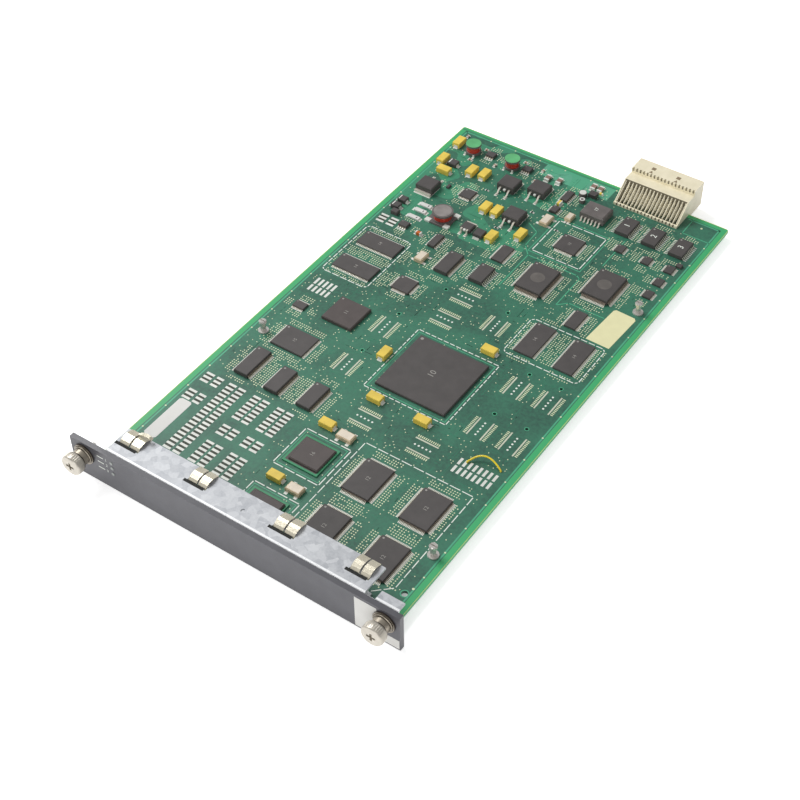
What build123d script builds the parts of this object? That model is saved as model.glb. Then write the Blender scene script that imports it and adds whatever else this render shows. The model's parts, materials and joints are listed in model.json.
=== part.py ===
from build123d import *
import math
import os

os.makedirs("parts", exist_ok=True)

# Voice module for a chassis: front panel with two captive thumbscrews, a
# folded mounting bracket and a long circuit board with a rear connector.
# Millimetres. Board frame while building: x from the left board edge, y from
# the panel's front face towards the rear connector, z from the board's top.

# Front panel
panel_width = 171.2
panel_height = 20.35
panel_thick = 2.5
panel_below_board = 4.85
panel_top = panel_height - panel_below_board

# Circuit board
board_width = 157.9
board_thick = 1.6
board_back = 299.0
board_corner_r = 1.5
board_gap = 0.3
unit_x = board_width / 157.9
unit_y = board_back / 299.0
board_mid = board_width / 2
panel_left = board_mid - panel_width / 2
panel_right = board_mid + panel_width / 2

# Mounting bracket, one folded sheet
sheet = 1.0
flange_inset_left = 11.6
flange_inset_right = 12.1
flange_left = flange_inset_left
flange_right = board_width - flange_inset_right
flange_back = 17.5
tab_back = 7.5
leg_low_top = panel_top - 1.5
foot_back = 13.0
foot_width = 11.0
foot_inset = 9.5
leg_margin = 4.7
tab_inset = 6.15
leg_back = panel_thick + sheet

# Captive thumbscrews and their retainers
screw_inset = 7.4
screw_spread = panel_width / 2 - screw_inset
left_screw = board_mid - screw_spread
right_screw = board_mid + screw_spread
leg_left = left_screw - leg_margin
tab_right = right_screw + leg_margin
tab_left = right_screw - tab_inset
screw_height = panel_top - 6.7
screw_travel = 2.8
slide_clearance = 0.07
neck_r = 1.35
thread_r = 1.75
thread_end = 6.4
shoulder_r = 1.6
shoulder_start = panel_thick + 0.3
thread_start = 3.3
thread_bevel = 0.5
barrel_sides = 24
lip_front = 1.0
lip_r = neck_r + slide_clearance
barrel_r = 3.9
barrel_bore_r = 3.0
barrel_front = 4.4
flange_ring_r = 5.4
flange_ring_t = 0.8
step_r = 4.6
step_front = 1.5
retainer_body_r = 4.2
rear_bore_r = 2.6
swage_r = 4.7
swage_t = 0.4
knob_r = 5.2
knob_rear = 4.7
knob_front = 9.2
skirt_clearance = 0.35
skirt_r = barrel_r + skirt_clearance
cavity_floor = 7.8
cross_length = 5.6
cross_width = 1.25
cross_depth = 1.1
spring_wire = 0.5
spring_mean_r = 2.2

# Spring clips on the bracket
clip_sheet = 0.25
clip_unit = (flange_right - flange_left) / 134.2
clip_places = ((7.15, 10.5), (44.5, 9.6), (89.6, 10.8), (127.15, 9.3))
clip_mids = [(flange_left + c * clip_unit, wide) for c, wide in clip_places]
clip_spans = [(c - wide / 2, c + wide / 2) for c, wide in clip_mids]
clip_slit = 0.8
slot_front = 8.5
slot_back = 10.1
slot_margin = 0.3

# Rear connector
conn_columns = 18
conn_pitch = 2.0
conn_from_right = 40.3
conn_mid = board_width - conn_from_right
conn_on_board = 3.0
conn_overhang = 13.6
conn_front = board_back - conn_on_board
conn_back = board_back + conn_overhang
conn_ledge_top = 9.4
conn_top = 12.0
conn_below = 2.2
conn_step = 6.6
tooth_wide = 0.9
tooth_deep = 0.9
tooth_high = 1.5
conn_hole = 0.9
conn_hole_depth = 2.5
conn_rows = 5
tail_reach = 9.1
tail_front_y = conn_front - tail_reach
tail_thick = 0.3
tail_width = 0.55
end_wall = 0.6
comb_gap = 0.3
comb_deep = 1.2
comb_high = 1.4
comb_notch = 0.7

# Status lenses
lens_inset = 15.75
lens_x = left_screw + lens_inset
lens_rows = (panel_top - 3.3, panel_top - 6.5, panel_top - 10.0)
lens_r = 0.9

# Chip packages: length and width over the moulded body, and height
big_bga = 37.5
big_bga_h = 1.5
mid_bga = 17.0
mid_bga_h = 1.9
sub_bga = 18.5
sub_bga_w = 17.5
sub_bga_t = 0.7
sub_bga_mould = 15.4
sub_bga_mould_w = 14.4
sub_bga_mould_h = 1.2
quad_w = 14.0
quad_l = 20.0
quad_low_h = 1.5
quad_high_h = 2.7
soic_w = 7.5
soic_l = 12.8
soic_h = 2.25
soic_stand = 0.1
soic_pitch = 1.27
soic_rows = 10
soic_foot = 1.45
soic_lead_t = 0.25
soic_lead_w = 0.42

# Whole module: height of the tallest clip, and the part frame
rear_end = conn_back
front_end = -knob_front
shift = Location((-board_mid, -(rear_end + front_end) / 2, panel_below_board))


def save(name, solids):
    placed = [shift * s for s in solids]
    whole = placed[0] if len(placed) == 1 else Compound(children=placed)
    export_step(whole, "parts/" + name + ".step")
    volume = sum(s.volume for s in solids)
    print(name, len(solids), round(volume, 1))


def block(x0, x1, y0, y1, z0, z1):
    body = Box(x1 - x0, y1 - y0, z1 - z0)
    return Pos((x0 + x1) / 2, (y0 + y1) / 2, (z0 + z1) / 2) * body


def at(x, y):
    # Places on the board move with its width and length.
    return x * unit_x, y * unit_y


def chip(x, y, length_x, length_y, height, stand=0.0, bevel=0.25):
    cx, cy = at(x, y)
    return moulded(cx, cy, length_x, length_y, height, stand, bevel)


def slab(cx, cy, length_x, length_y, z0, z1):
    return Pos(cx, cy, (z0 + z1) / 2) * Box(length_x, length_y, z1 - z0)


def top_edges(body):
    return body.faces().sort_by(Axis.Z)[-1].edges()


def moulded(cx, cy, length_x, length_y, height, stand=0.0, bevel=0.25):
    body = chamfer(top_edges(Box(length_x, length_y, height)), bevel)
    return Pos(cx, cy, stand + height / 2) * body


def disc_y(radius, y0, y1):
    body = Cylinder(radius, y1 - y0)
    return Pos(0, (y0 + y1) / 2, 0) * Rot(90, 0, 0) * body


def many_sided(radius, sides, length):
    # Prism of equal area to a cylinder to within one percent, centred on z = 0.
    face = RegularPolygon(radius, sides)
    return Pos(0, 0, -length / 2) * extrude(face, amount=length)


def drum_y(radius, y0, y1, sides=24):
    body = many_sided(radius, sides, y1 - y0)
    return Pos(0, (y0 + y1) / 2, 0) * Rot(90, 0, 0) * body


def post(cx, cy, radius, z0, z1, sides=12):
    return Pos(cx, cy, (z0 + z1) / 2) * many_sided(radius, sides, z1 - z0)


def hole_tool(cx, cy, radius, z0, z1):
    return Pos(cx, cy, (z0 + z1) / 2) * Cylinder(radius, z1 - z0)


def thick_line(points, thick):
    # Closed outline of a sheet: the line, and the line moved left by thick.
    count = len(points)
    moved = []
    for i in range(count):
        a = points[max(i - 1, 0)]
        b = points[i]
        c = points[min(i + 1, count - 1)]
        n1 = unit_left(a, b) if i > 0 else unit_left(b, c)
        n2 = unit_left(b, c) if i < count - 1 else n1
        scale = thick / (1 + n1[0] * n2[0] + n1[1] * n2[1])
        moved.append((b[0] + (n1[0] + n2[0]) * scale, b[1] + (n1[1] + n2[1]) * scale))
    return list(points) + moved[::-1]


def unit_left(a, b):
    run = math.hypot(b[0] - a[0], b[1] - a[1])
    return (-(b[1] - a[1]) / run, (b[0] - a[0]) / run)


def bent_strip(points, thick, width):
    # Sheet strip bent in the YZ plane, its width centred on x = 0.
    outline = thick_line(points, thick)
    wire = Polyline(*[(0, p[0], p[1]) for p in outline], close=True)
    body = extrude(make_face(wire), amount=width, dir=(1, 0, 0))
    return Pos(-width / 2, 0, 0) * body


# Circuit board: bare laminate with its holes
board_front = panel_thick + sheet + board_gap
screw_hole_r = 1.6
foot_screws = (flange_left + foot_inset, flange_right - foot_inset)
foot_screw_y = foot_back - 4.0
board = block(0, board_width, board_front, board_back, -board_thick, 0)
back_corner = board.edges().filter_by(Axis.Z).sort_by(Axis.Y)[-2:]
board = chamfer(back_corner, board_corner_r * 0.6)
hole_x, hole_y = at(152.2, 20.8)
board -= hole_tool(hole_x, hole_y, 1.5, -board_thick - 1, 1)
for fx in foot_screws:
    board -= post(fx, foot_screw_y, screw_hole_r, -board_thick - 1, 1)
sink_holes = ((65.0, 182.7), (98.7, 185.0), (56.2, 155.7), (56.2, 125.6),
              (128.8, 155.2), (145.4, 155.2), (128.8, 125.3), (145.5, 125.3))
for sink in sink_holes:
    hx, hy = at(*sink)
    board -= post(hx, hy, 0.8, -board_thick - 1, 1, 8)
save("circuit_board", [board])

# Front panel: painted sheet with holes for the two retainers and the lenses
panel = block(panel_left, panel_right, 0, panel_thick, -panel_below_board, panel_top)
screw_xs = (left_screw, right_screw)
for sx in screw_xs:
    panel -= Pos(sx, 0, screw_height) * drum_y(retainer_body_r, -1, panel_thick + 1, barrel_sides)
for lz in lens_rows:
    panel -= Pos(lens_x, 0, lz) * drum_y(lens_r, -1, panel_thick + 1, 12)
save("front_panel", [panel])

# Status lenses fill their holes and stand a little proud
lenses = []
for lz in lens_rows:
    lenses.append(Pos(lens_x, 0, lz) * drum_y(lens_r, -0.2, panel_thick, 12))
save("status_lenses", lenses)

# Bracket: upright leg behind the panel, top flange, tab and two feet
leg = block(leg_left, tab_right, panel_thick, leg_back, 0, leg_low_top)
main_fold = block(flange_left, flange_right, panel_thick, leg_back, 0, panel_top)
main_top = block(flange_left, flange_right, panel_thick, flange_back, panel_top - sheet, panel_top)
tab_fold = block(tab_left, tab_right, panel_thick, leg_back, 0, panel_top)
tab_top = block(tab_left, tab_right, panel_thick, tab_back, panel_top - sheet, panel_top)
bracket = leg + main_fold + main_top + tab_fold + tab_top
for fx in foot_screws:
    bracket += block(fx - foot_width / 2, fx + foot_width / 2, panel_thick, foot_back, 0, sheet)
fold_edges = bracket.edges().filter_by(Axis.X).filter_by_position(Axis.Y, panel_thick - 0.01, panel_thick + 0.01)
fold_edges = fold_edges.filter_by_position(Axis.Z, panel_top - 0.01, panel_top + 0.01)
bracket = fillet(fold_edges, 0.9)
for fx in foot_screws:
    bracket -= post(fx, foot_screw_y, screw_hole_r, -1, sheet + 1)
for sx in screw_xs:
    bracket -= Pos(sx, 0, screw_height) * drum_y(retainer_body_r, panel_thick - 1, leg_back + 1, barrel_sides)
for c0, c1 in clip_spans:
    bracket -= block(c0 - slot_margin, c1 + slot_margin, slot_front, slot_back,
                     panel_top - sheet - 1, panel_top + 1)
window = lens_r + 0.5
bracket -= block(lens_x - window, lens_x + window, panel_thick - 1, leg_back + 1,
                 lens_rows[-1] - window, lens_rows[0] + window)
bracket -= post(board_mid + 1.85, 8.9, 1.0, panel_top - 0.35, panel_top + 1)
save("mounting_bracket", [bracket])

# Pan-head screws through the feet and the board, with a nut face below
foot_screw_set = []
head_h = 1.7
for fx in foot_screws:
    head = post(fx, foot_screw_y, 2.8, sheet, sheet + head_h)
    head = chamfer(top_edges(head), 0.6)
    head -= slab(fx, foot_screw_y, 3.0, 0.7, sheet + head_h - 0.8, sheet + head_h + 1)
    head -= slab(fx, foot_screw_y, 0.7, 3.0, sheet + head_h - 0.8, sheet + head_h + 1)
    shank = post(fx, foot_screw_y, screw_hole_r, -board_thick - 2.6, sheet)
    foot_screw_set.append(head + shank)
save("bracket_screws", foot_screw_set)
nuts = []
for fx in foot_screws:
    nut = extrude(RegularPolygon(3.1, 6), amount=2.2)
    nut -= post(0, 0, screw_hole_r, -1, 4)
    nuts.append(Pos(fx, foot_screw_y, -board_thick - 2.2) * nut)
save("bracket_nuts", nuts)

# Spring clips: each grips the flange edge and sends two fingers forward
clip_under = flange_back - 5.0
clip_z = panel_top
lower_z = clip_z - sheet - clip_sheet
tip_y = slot_back - 1.0
finger = [(clip_under, lower_z), (flange_back + clip_sheet, lower_z),
          (flange_back + clip_sheet, clip_z + 0.35), (flange_back - 1.6, clip_z + 1.15),
          (slot_back + 4.0, clip_z + 1.6), (slot_back + 2.2, clip_z + 1.5),
          (slot_back + 0.4, clip_z + 0.8), (slot_back - 0.5, clip_z - 0.1), (tip_y, clip_z - 0.8)]
# The first clip's rear tail is bent up and curled over to the right
tail_wide = 1.6
tail_line = [(-1.0, 0.35), (-0.2, 0.5), (0.5, 1.4), (2.2, 2.4), (4.2, 3.0), (6.2, 2.8), (7.1, 2.0), (6.7, 1.25)]
for i, (c0, c1) in enumerate(clip_spans):
    one = (c1 - c0 - clip_slit) / 2
    left = Pos(c0 + one / 2, 0, 0) * bent_strip(finger, clip_sheet, one)
    right = Pos(c1 - one / 2, 0, 0) * bent_strip(finger, clip_sheet, one)
    clip = left + right + block(c0, c1, clip_under, flange_back, lower_z, lower_z + clip_sheet)
    if i == 0:
        curl = Rot(0, 0, -90) * bent_strip(tail_line, clip_sheet, tail_wide)
        clip += Pos(c0 + one, flange_back - tail_wide / 2, clip_z) * curl
    save("spring_clip_" + str(i + 1), [clip])


# Retainers: flanged sleeves swaged through the panel and the bracket leg
def retainer():
    body = drum_y(flange_ring_r, -flange_ring_t, 0)
    body += drum_y(step_r, -step_front, -flange_ring_t)
    body += drum_y(barrel_r, -barrel_front, -step_front)
    body += drum_y(retainer_body_r, 0, leg_back)
    body += drum_y(swage_r, leg_back, leg_back + swage_t)
    body -= drum_y(barrel_bore_r, -barrel_front - 1, lip_front)
    body -= disc_y(lip_r, lip_front - 1, leg_back + 1)
    body -= drum_y(rear_bore_r, panel_thick, leg_back + 1)
    return body


# Thumbscrews: knurled cup with a cross recess, neck and threaded end
def thumbscrew():
    teeth = 20
    rim = []
    for i in range(teeth * 2):
        r = knob_r if i % 2 == 0 else knob_r - 0.2
        a = math.pi * i / teeth
        rim.append((r * math.cos(a), r * math.sin(a)))
    grip = extrude(make_face(Polyline(*rim, close=True)), amount=knob_front - knob_rear)
    grip = Pos(0, -knob_rear, 0) * Rot(90, 0, 0) * grip
    turned = drum_y(knob_r + 0.1, -knob_front, -knob_rear)
    rims = turned.faces().sort_by(Axis.Y)[0].edges() + turned.faces().sort_by(Axis.Y)[-1].edges()
    turned = chamfer(rims, 0.6)
    knob = grip & turned
    knob -= drum_y(skirt_r, -cavity_floor, -knob_rear + 1)
    knob -= Pos(0, -knob_front, 0) * Box(cross_length, cross_depth * 2, cross_width)
    knob -= Pos(0, -knob_front, 0) * Box(cross_width, cross_depth * 2, cross_length)
    shaft = disc_y(neck_r, -cavity_floor, shoulder_start)
    shoulder = drum_y(shoulder_r, shoulder_start, thread_start)
    thread = disc_y(thread_r, thread_start, thread_end)
    tip = thread.faces().sort_by(Axis.Y)[-1].edges()
    thread = chamfer(tip, thread_bevel)
    return knob + shaft + shoulder + thread


sleeve = retainer()
screw = thumbscrew()
coil = drum_y(spring_mean_r + spring_wire / 2, -cavity_floor, lip_front, 12)
coil -= drum_y(spring_mean_r - spring_wire / 2, -cavity_floor - 1, lip_front + 1, 12)
for side, sx in zip(("left", "right"), screw_xs):
    place = Pos(sx, 0, screw_height)
    save(side + "_retainer", [place * sleeve])
    save(side + "_thumbscrew", [place * screw])
    save(side + "_spring", [place * coil])

# Rear connector housing with two ridges, contact holes and end walls
conn_half = conn_columns * conn_pitch / 2
conn_left = conn_mid - conn_half
conn_right = conn_mid + conn_half
ledge_back = board_back + board_gap
housing = block(conn_left, conn_right, conn_front, ledge_back, 0, conn_ledge_top)
housing += block(conn_left, conn_right, ledge_back, conn_back, -conn_below, conn_ledge_top)
step_y = conn_front + conn_step
comb_edge = tail_front_y - tail_thick - comb_gap
housing += block(conn_left, conn_right, step_y, conn_back, 0, conn_top)
for wall_x in (conn_left, conn_right - end_wall):
    side = Polyline((wall_x, comb_edge, 0), (wall_x, comb_edge, comb_high),
                    (wall_x, conn_front, conn_ledge_top), (wall_x, conn_front, 0), close=True)
    housing += extrude(make_face(side), amount=end_wall, dir=(1, 0, 0))
comb = block(conn_left, conn_right, comb_edge - comb_deep, comb_edge, 0, comb_high)
for k in range(conn_columns - 1):
    notch_x = conn_left + conn_pitch * (k + 1)
    comb -= slab(notch_x, comb_edge - comb_deep, comb_notch, comb_deep, 0.3, comb_high + 1)
housing += comb
contact_mid = (conn_top - conn_below) / 2
contact_rows = [contact_mid + conn_pitch * (k - (conn_rows - 1) / 2) for k in range(conn_rows)]
columns = [conn_left + conn_pitch * (k + 0.5) for k in range(conn_columns)]
holes = []
for cz in contact_rows:
    for cx in columns:
        holes.append(block(cx - conn_hole / 2, cx + conn_hole / 2,
                           conn_back - conn_hole_depth, conn_back + 1,
                           cz - conn_hole / 2, cz + conn_hole / 2))
for cx in columns:
    holes.append(block(cx - tooth_wide / 2, cx + tooth_wide / 2, step_y - 1, step_y + tooth_deep,
                       conn_top - tooth_high, conn_top + 1))
housing = housing - Compound(children=holes)
save("rear_connector", [s for s in housing.solids()])

# Contact tails: out of the housing, down a slope and onto the board
tails = []
rise = 1.45
for k in range(conn_rows):
    foot_y = tail_front_y + 1.7 * (conn_rows - 1 - k)
    out_z = 1.2 + rise * (k + 1)
    low_z = 0.9 + 0.15 * k
    line = [(foot_y, 0), (foot_y, low_z), (conn_front, out_z)]
    strip = bent_strip(line, tail_thick, tail_width)
    for cx in columns:
        tails.append(Pos(cx, 0, 0) * strip)
save("connector_tails", tails)

# Ball-grid chips
cpu = chip(92.6, 129.5, big_bga, big_bga, big_bga_h, bevel=0.3)
save("main_processor", [cpu])
dsp = chip(36.1, 140.9, mid_bga, mid_bga, mid_bga_h, bevel=0.4)
save("second_processor", [dsp])
for name, cy in (("logic_array_rear", 59.3), ("logic_array_front", 22.9)):
    mx, my = at(76.6, cy)
    base = slab(mx, my, sub_bga, sub_bga_w, 0, sub_bga_t)
    cap = moulded(mx + 0.8, my, sub_bga_mould, sub_bga_mould_w, sub_bga_mould_h, sub_bga_t, 0.5)
    save(name, [base + cap])


def quad(cx, cy, height):
    return chip(cx, cy, quad_w, quad_l, height)


# Flat chips with leads on four sides
memories = [(105.3, 61.4), (135.1, 61.4), (105.3, 30.0), (135.1, 30.0)]
save("memory_chips", [quad(cx, cy, quad_low_h) for cx, cy in memories])
save("network_chip_left", [quad(98.6, 212.0, quad_high_h)])
save("network_chip_right", [quad(127.8, 225.5, quad_high_h)])
save("framed_chip", [chip(97.9, 243.9, 12.0, 12.0, 1.2)])
save("small_quad_chips", [chip(47.1, 173.6, 10.0, 10.0, 1.2), chip(34.1, 249.9, 7.0, 7.0, 1.2)])

# Flat memory chips with leads on two sides
flat_h = 1.1
dram_l = 22.22
dram_w = 10.16
drams = [chip(19.8, 191.8, dram_l, dram_w, flat_h), chip(19.8, 171.2, dram_l, dram_w, flat_h),
         chip(119.3, 175.6, dram_w, dram_l, flat_h), chip(140.2, 175.6, dram_w, dram_l, flat_h)]
save("dynamic_memories", drams)
save("flash_memory", [chip(27.0, 112.6, 18.4, 14.0, flat_h)])
slim_places = ((74.1, 219.6, 6.1, 12.5), (128.1, 198.1, 6.1, 12.5), (14.0, 133.8, 6.5, 4.4),
               (120.3, 255.3, 4.4, 5.5), (135.3, 254.5, 4.4, 5.5), (147.7, 254.8, 4.4, 5.5),
               (147.7, 243.6, 4.4, 5.5), (147.7, 233.1, 4.4, 5.5))
save("bus_chips", [chip(a, b, c, d, flat_h, bevel=0.15) for a, b, c, d in slim_places])

# Wide chips: the long interface chips and the line transceivers
shrink_places = ((19.9, 90.2, 18.4), (37.8, 87.8, 15.9), (56.2, 87.8, 15.9), (56.2, 198.5, 15.9))
save("interface_chips", [chip(a, b, soic_w, c, soic_h) for a, b, c in shrink_places])
wide_places = ((74.0, 200.5), (115.2, 271.2), (130.2, 271.2), (145.2, 271.2))
save("line_chips", [chip(a, b, soic_w, soic_l, soic_h, soic_stand) for a, b in wide_places])
lead_line = [(soic_foot, 0), (0.62, 0), (0, soic_h / 2)]
lead = Rot(0, 0, -90) * bent_strip([(p[0], p[1]) for p in lead_line[::-1]], soic_lead_t, soic_lead_w)
other = Rot(0, 0, 180) * lead
line_leads = []
for place in wide_places:
    a, b = at(*place)
    for k in range(soic_rows):
        y = b + soic_pitch * (k - (soic_rows - 1) / 2)
        line_leads.append(Pos(a + soic_w / 2, y, 0) * lead)
        line_leads.append(Pos(a - soic_w / 2, y, 0) * other)
save("line_chip_leads", line_leads)
narrow_places = ((41.3, 209.4, 3.9, 9.9), (77.7, 276.4, 3.9, 8.6), (77.7, 263.7, 3.9, 4.9),
                 (26.4, 284.6, 4.9, 3.9), (48.8, 284.6, 4.9, 3.9), (20.9, 211.3, 4.9, 3.9))
save("small_logic_chips", [chip(a, b, c, d, 1.6, bevel=0.2) for a, b, c, d in narrow_places])
block_places = ((9.2, 227.2, 4.6, 3.9), (9.0, 221.4, 4.6, 3.9), (11.6, 216.8, 3.9, 3.0),
                (13.8, 267.0, 5.2, 4.4), (56.5, 225.9, 5.2, 5.2))
save("power_diodes", [chip(a, b, c, d, 2.3) for a, b, c, d in block_places])
tiny_places = ((22.3, 249.8, 1.6, 2.9, 1.1), (88.1, 284.8, 4.3, 3.6, 2.2), (150.4, 259.8, 2.9, 2.6, 1.3))
save("small_diodes", [chip(a, b, c, d, e, bevel=0.15) for a, b, c, d, e in tiny_places])

# Power transistors: moulded body on a metal tab, two long leads in front
power_big = ((48.6, 267.0, 0), (63.7, 272.0, 0), (64.2, 246.5, 0), (14.2, 242.9, 180))
power_small = ((49.0, 226.8, 0),)
power_bodies = []
power_tabs = []
power_leads = []


def power_device(a, b, turn, wide, deep, tall, reach):
    px, py = at(a, b)
    spin = Pos(px, py, 0) * Rot(0, 0, turn)
    power_bodies.append(spin * moulded(0, 0, wide, deep, tall - 1.3, 1.3, 0.5))
    power_tabs.append(spin * slab(0, 0.7, wide - 0.4, deep + 1.4, 0, 1.3))
    line = [(-deep / 2 - reach, 0), (-deep / 2 - reach + 1.9, 0), (-deep / 2 - 0.9, 1.9), (-deep / 2, 1.9)]
    strip = bent_strip(line, 0.5, 0.9)
    for dx in (-0.27 * wide, 0.27 * wide):
        power_leads.append(spin * Pos(dx, 0, 0) * strip)
    power_leads.append(spin * slab(0, -deep / 2 - 0.45, 0.9, 0.9, 1.5, 2.0))


for a, b, turn in power_big:
    power_device(a, b, turn, 9.8, 8.9, 4.4, 4.9)
for a, b, turn in power_small:
    power_device(a, b, turn, 6.2, 5.6, 2.4, 2.8)
save("power_transistors", power_bodies)
save("power_transistor_tabs", power_tabs)
save("power_transistor_leads", power_leads)

# Power transformer: low core with a bevelled top and leads at both sides
core_x, core_y = at(97.5, 271.2)
core_w = 13.4
core_d = 10.6
core_h = 4.6
core = moulded(core_x, core_y, core_w, core_d, core_h - 0.4, 0.4, 0.8)
save("power_transformer", [core])
pin_line = [(-2.6, 0), (-1.4, 0), (-0.7, 1.5), (0, 1.5)]
pin = bent_strip(pin_line, 0.4, 0.8)
core_pins = []
for k in range(6):
    px = core_x + 2.0 * (k - 2.5)
    core_pins.append(Pos(px, core_y - core_d / 2, 0) * pin)
    core_pins.append(Pos(px, core_y + core_d / 2, 0) * Rot(0, 0, 180) * pin)
save("transformer_leads", core_pins)

# Drum inductors: base and top on a spool, with a winding between
drums = []
windings = []
for ix, iy, ir, ih in ((16.5, 282.5, 4.2, 5.6), (40.5, 282.7, 4.2, 5.6), (34.0, 226.5, 5.5, 5.2)):
    ix, iy = at(ix, iy)
    big = ir > 5
    spool = slab(ix, iy, ir * 2.3, ir * 2.3, 0, 0.9) if big else post(ix, iy, ir, 0, 0.9, 16)
    spool += post(ix, iy, ir, 0.9, 1.4, 16)
    spool += slab(ix, iy, ir, ir, 1.4, ih - 1.0)
    spool += post(ix, iy, ir, ih - 1.0, ih, 16)
    drums.append(spool)
    ring = post(ix, iy, ir * 0.86, 1.4, ih - 1.0, 16)
    ring -= slab(ix, iy, ir, ir, 1.0, ih)
    windings.append(ring)
save("drum_inductors", drums)
save("inductor_windings", windings)

# Tantalum capacitors: moulded blocks of one size, along y or along x
tant_l = 7.3
tant_w = 4.3
tant_h = 2.9
along_y = ((6.6, 284.1), (7.4, 267.2), (25.7, 266.7), (32.9, 267.7), (48.0, 244.9), (54.4, 245.4),
           (74.0, 236.4), (62.8, 227.0), (66.8, 128.6))
along_x = ((13.1, 259.3), (105.9, 157.2), (80.0, 102.7), (105.4, 102.7), (71.8, 77.8), (71.8, 40.6))
tantalums = [chip(a, b, tant_w, tant_l, tant_h, bevel=0.2) for a, b in along_y]
tantalums += [chip(a, b, tant_l, tant_w, tant_h, bevel=0.2) for a, b in along_x]
save("tantalum_capacitors", tantalums)
cream_places = ((78.8, 253.5, 4.5, 8.0, 2.2), (87.4, 262.1, 3.5, 5.5, 2.2), (42.4, 194.8, 4.5, 7.0, 2.2),
                (82.8, 76.4, 8.0, 5.0, 2.2), (83.0, 39.5, 7.5, 5.0, 2.2))
cans = [chip(a, b, c, d, e, bevel=0.4) for a, b, c, d, e in cream_places]
save("crystal_cans", cans)
bar_places = ((21.3, 230.2), (21.3, 225.2), (21.3, 219.2))
bars = [slab(*at(a, b), 6.5, 2.4, 0, 0.8) for a, b in bar_places]
save("shunt_resistors", bars)
ceramic_places = ((61.4, 284.3), (67.7, 285.2), (84.9, 291.0), (88.9, 291.0))
save("ceramic_capacitors", [slab(*at(a, b), 2.6, 4.4, 0, 1.3) for a, b in ceramic_places])

round_places = ((83.4, 282.2, 2.1, 2.2), (85.6, 277.6, 1.6, 1.8))
save("round_parts", [post(*at(a, b), c, 0, d, 16) for a, b, c, d in round_places])

# Slotted stand-off posts with a ring base
posts = []
for px, py in ((10.1, 110.5), (149.5, 219.5), (150.8, 43.5)):
    px, py = at(px, py)
    pin_body = post(px, py, 2.6, 0, 0.6) + post(px, py, 1.4, 0.6, 5.2, 6)
    pin_body += chamfer(top_edges(post(px, py, 1.9, 5.2, 6.5)), 0.4)
    pin_body -= slab(px, py, 4.4, 0.6, 5.8, 7.0)
    posts.append(pin_body)
save("slotted_posts", posts)

# Yellow jumper wire, soldered at both ends and arched over the board
wire_r = 0.4
wire_points = [(134.5, 95.5, 0.0), (134.5, 95.5, 1.6), (138.3, 99.6, 3.6), (142.8, 100.3, 4.4),
               (147.2, 98.6, 3.6), (150.5, 94.7, 1.6), (150.5, 94.7, 0.0)]
wire_points = [at(x, y) + (z,) for x, y, z in wire_points]
wire_path = FilletPolyline(*wire_points, radius=1.0)
start = Plane(origin=wire_path @ 0, z_dir=wire_path % 0)
section = RegularPolygon(wire_r, 6)
jumper = sweep(start * section, path=wire_path)
print("jumper", round(jumper.volume / (section.area * wire_path.length), 4))
save("jumper_wire", [jumper])
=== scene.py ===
import json
import math
import random

import bmesh
import bpy
from mathutils import Matrix, Vector

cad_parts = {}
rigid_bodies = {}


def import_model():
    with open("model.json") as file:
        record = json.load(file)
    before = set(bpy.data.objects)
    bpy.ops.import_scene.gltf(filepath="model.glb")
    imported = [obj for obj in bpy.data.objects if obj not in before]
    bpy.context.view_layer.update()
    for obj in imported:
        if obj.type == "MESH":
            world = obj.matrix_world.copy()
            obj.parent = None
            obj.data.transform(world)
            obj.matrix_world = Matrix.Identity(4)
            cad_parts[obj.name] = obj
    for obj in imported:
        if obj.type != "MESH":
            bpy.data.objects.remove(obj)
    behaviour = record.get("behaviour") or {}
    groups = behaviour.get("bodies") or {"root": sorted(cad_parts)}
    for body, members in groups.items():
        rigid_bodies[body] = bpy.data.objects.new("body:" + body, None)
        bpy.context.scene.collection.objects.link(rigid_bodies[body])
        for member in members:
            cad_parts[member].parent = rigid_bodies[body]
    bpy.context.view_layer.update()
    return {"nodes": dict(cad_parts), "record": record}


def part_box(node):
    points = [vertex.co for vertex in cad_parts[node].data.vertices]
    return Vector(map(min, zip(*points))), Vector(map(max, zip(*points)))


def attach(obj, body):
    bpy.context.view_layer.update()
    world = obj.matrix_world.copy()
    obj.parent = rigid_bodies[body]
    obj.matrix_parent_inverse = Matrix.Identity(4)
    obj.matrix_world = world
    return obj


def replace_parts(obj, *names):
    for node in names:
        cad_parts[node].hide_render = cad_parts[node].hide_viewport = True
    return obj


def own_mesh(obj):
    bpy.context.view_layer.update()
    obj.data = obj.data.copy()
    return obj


scene = bpy.context.scene
for old in list(bpy.data.objects):
    bpy.data.objects.remove(old)
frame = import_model()
rng = random.Random(7)

# Board frame in millimetres (x from the left edge, y from the panel's front
# face, z from the board's top) to the row frame in metres.
MID_X = 78.95
MID_Y = 151.7
LIFT = 4.85


def spot(x, y, z):
    return ((x - MID_X) / 1000, (y - MID_Y) / 1000, (z + LIFT) / 1000)


def linear(hexa):
    # A written colour as the linear values that a shader takes.
    out = []
    for i in (0, 2, 4):
        c = int(hexa[i:i + 2], 16) / 255
        out.append(c / 12.92 if c <= 0.04045 else ((c + 0.055) / 1.055) ** 2.4)
    return (out[0], out[1], out[2], 1.0)


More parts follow.
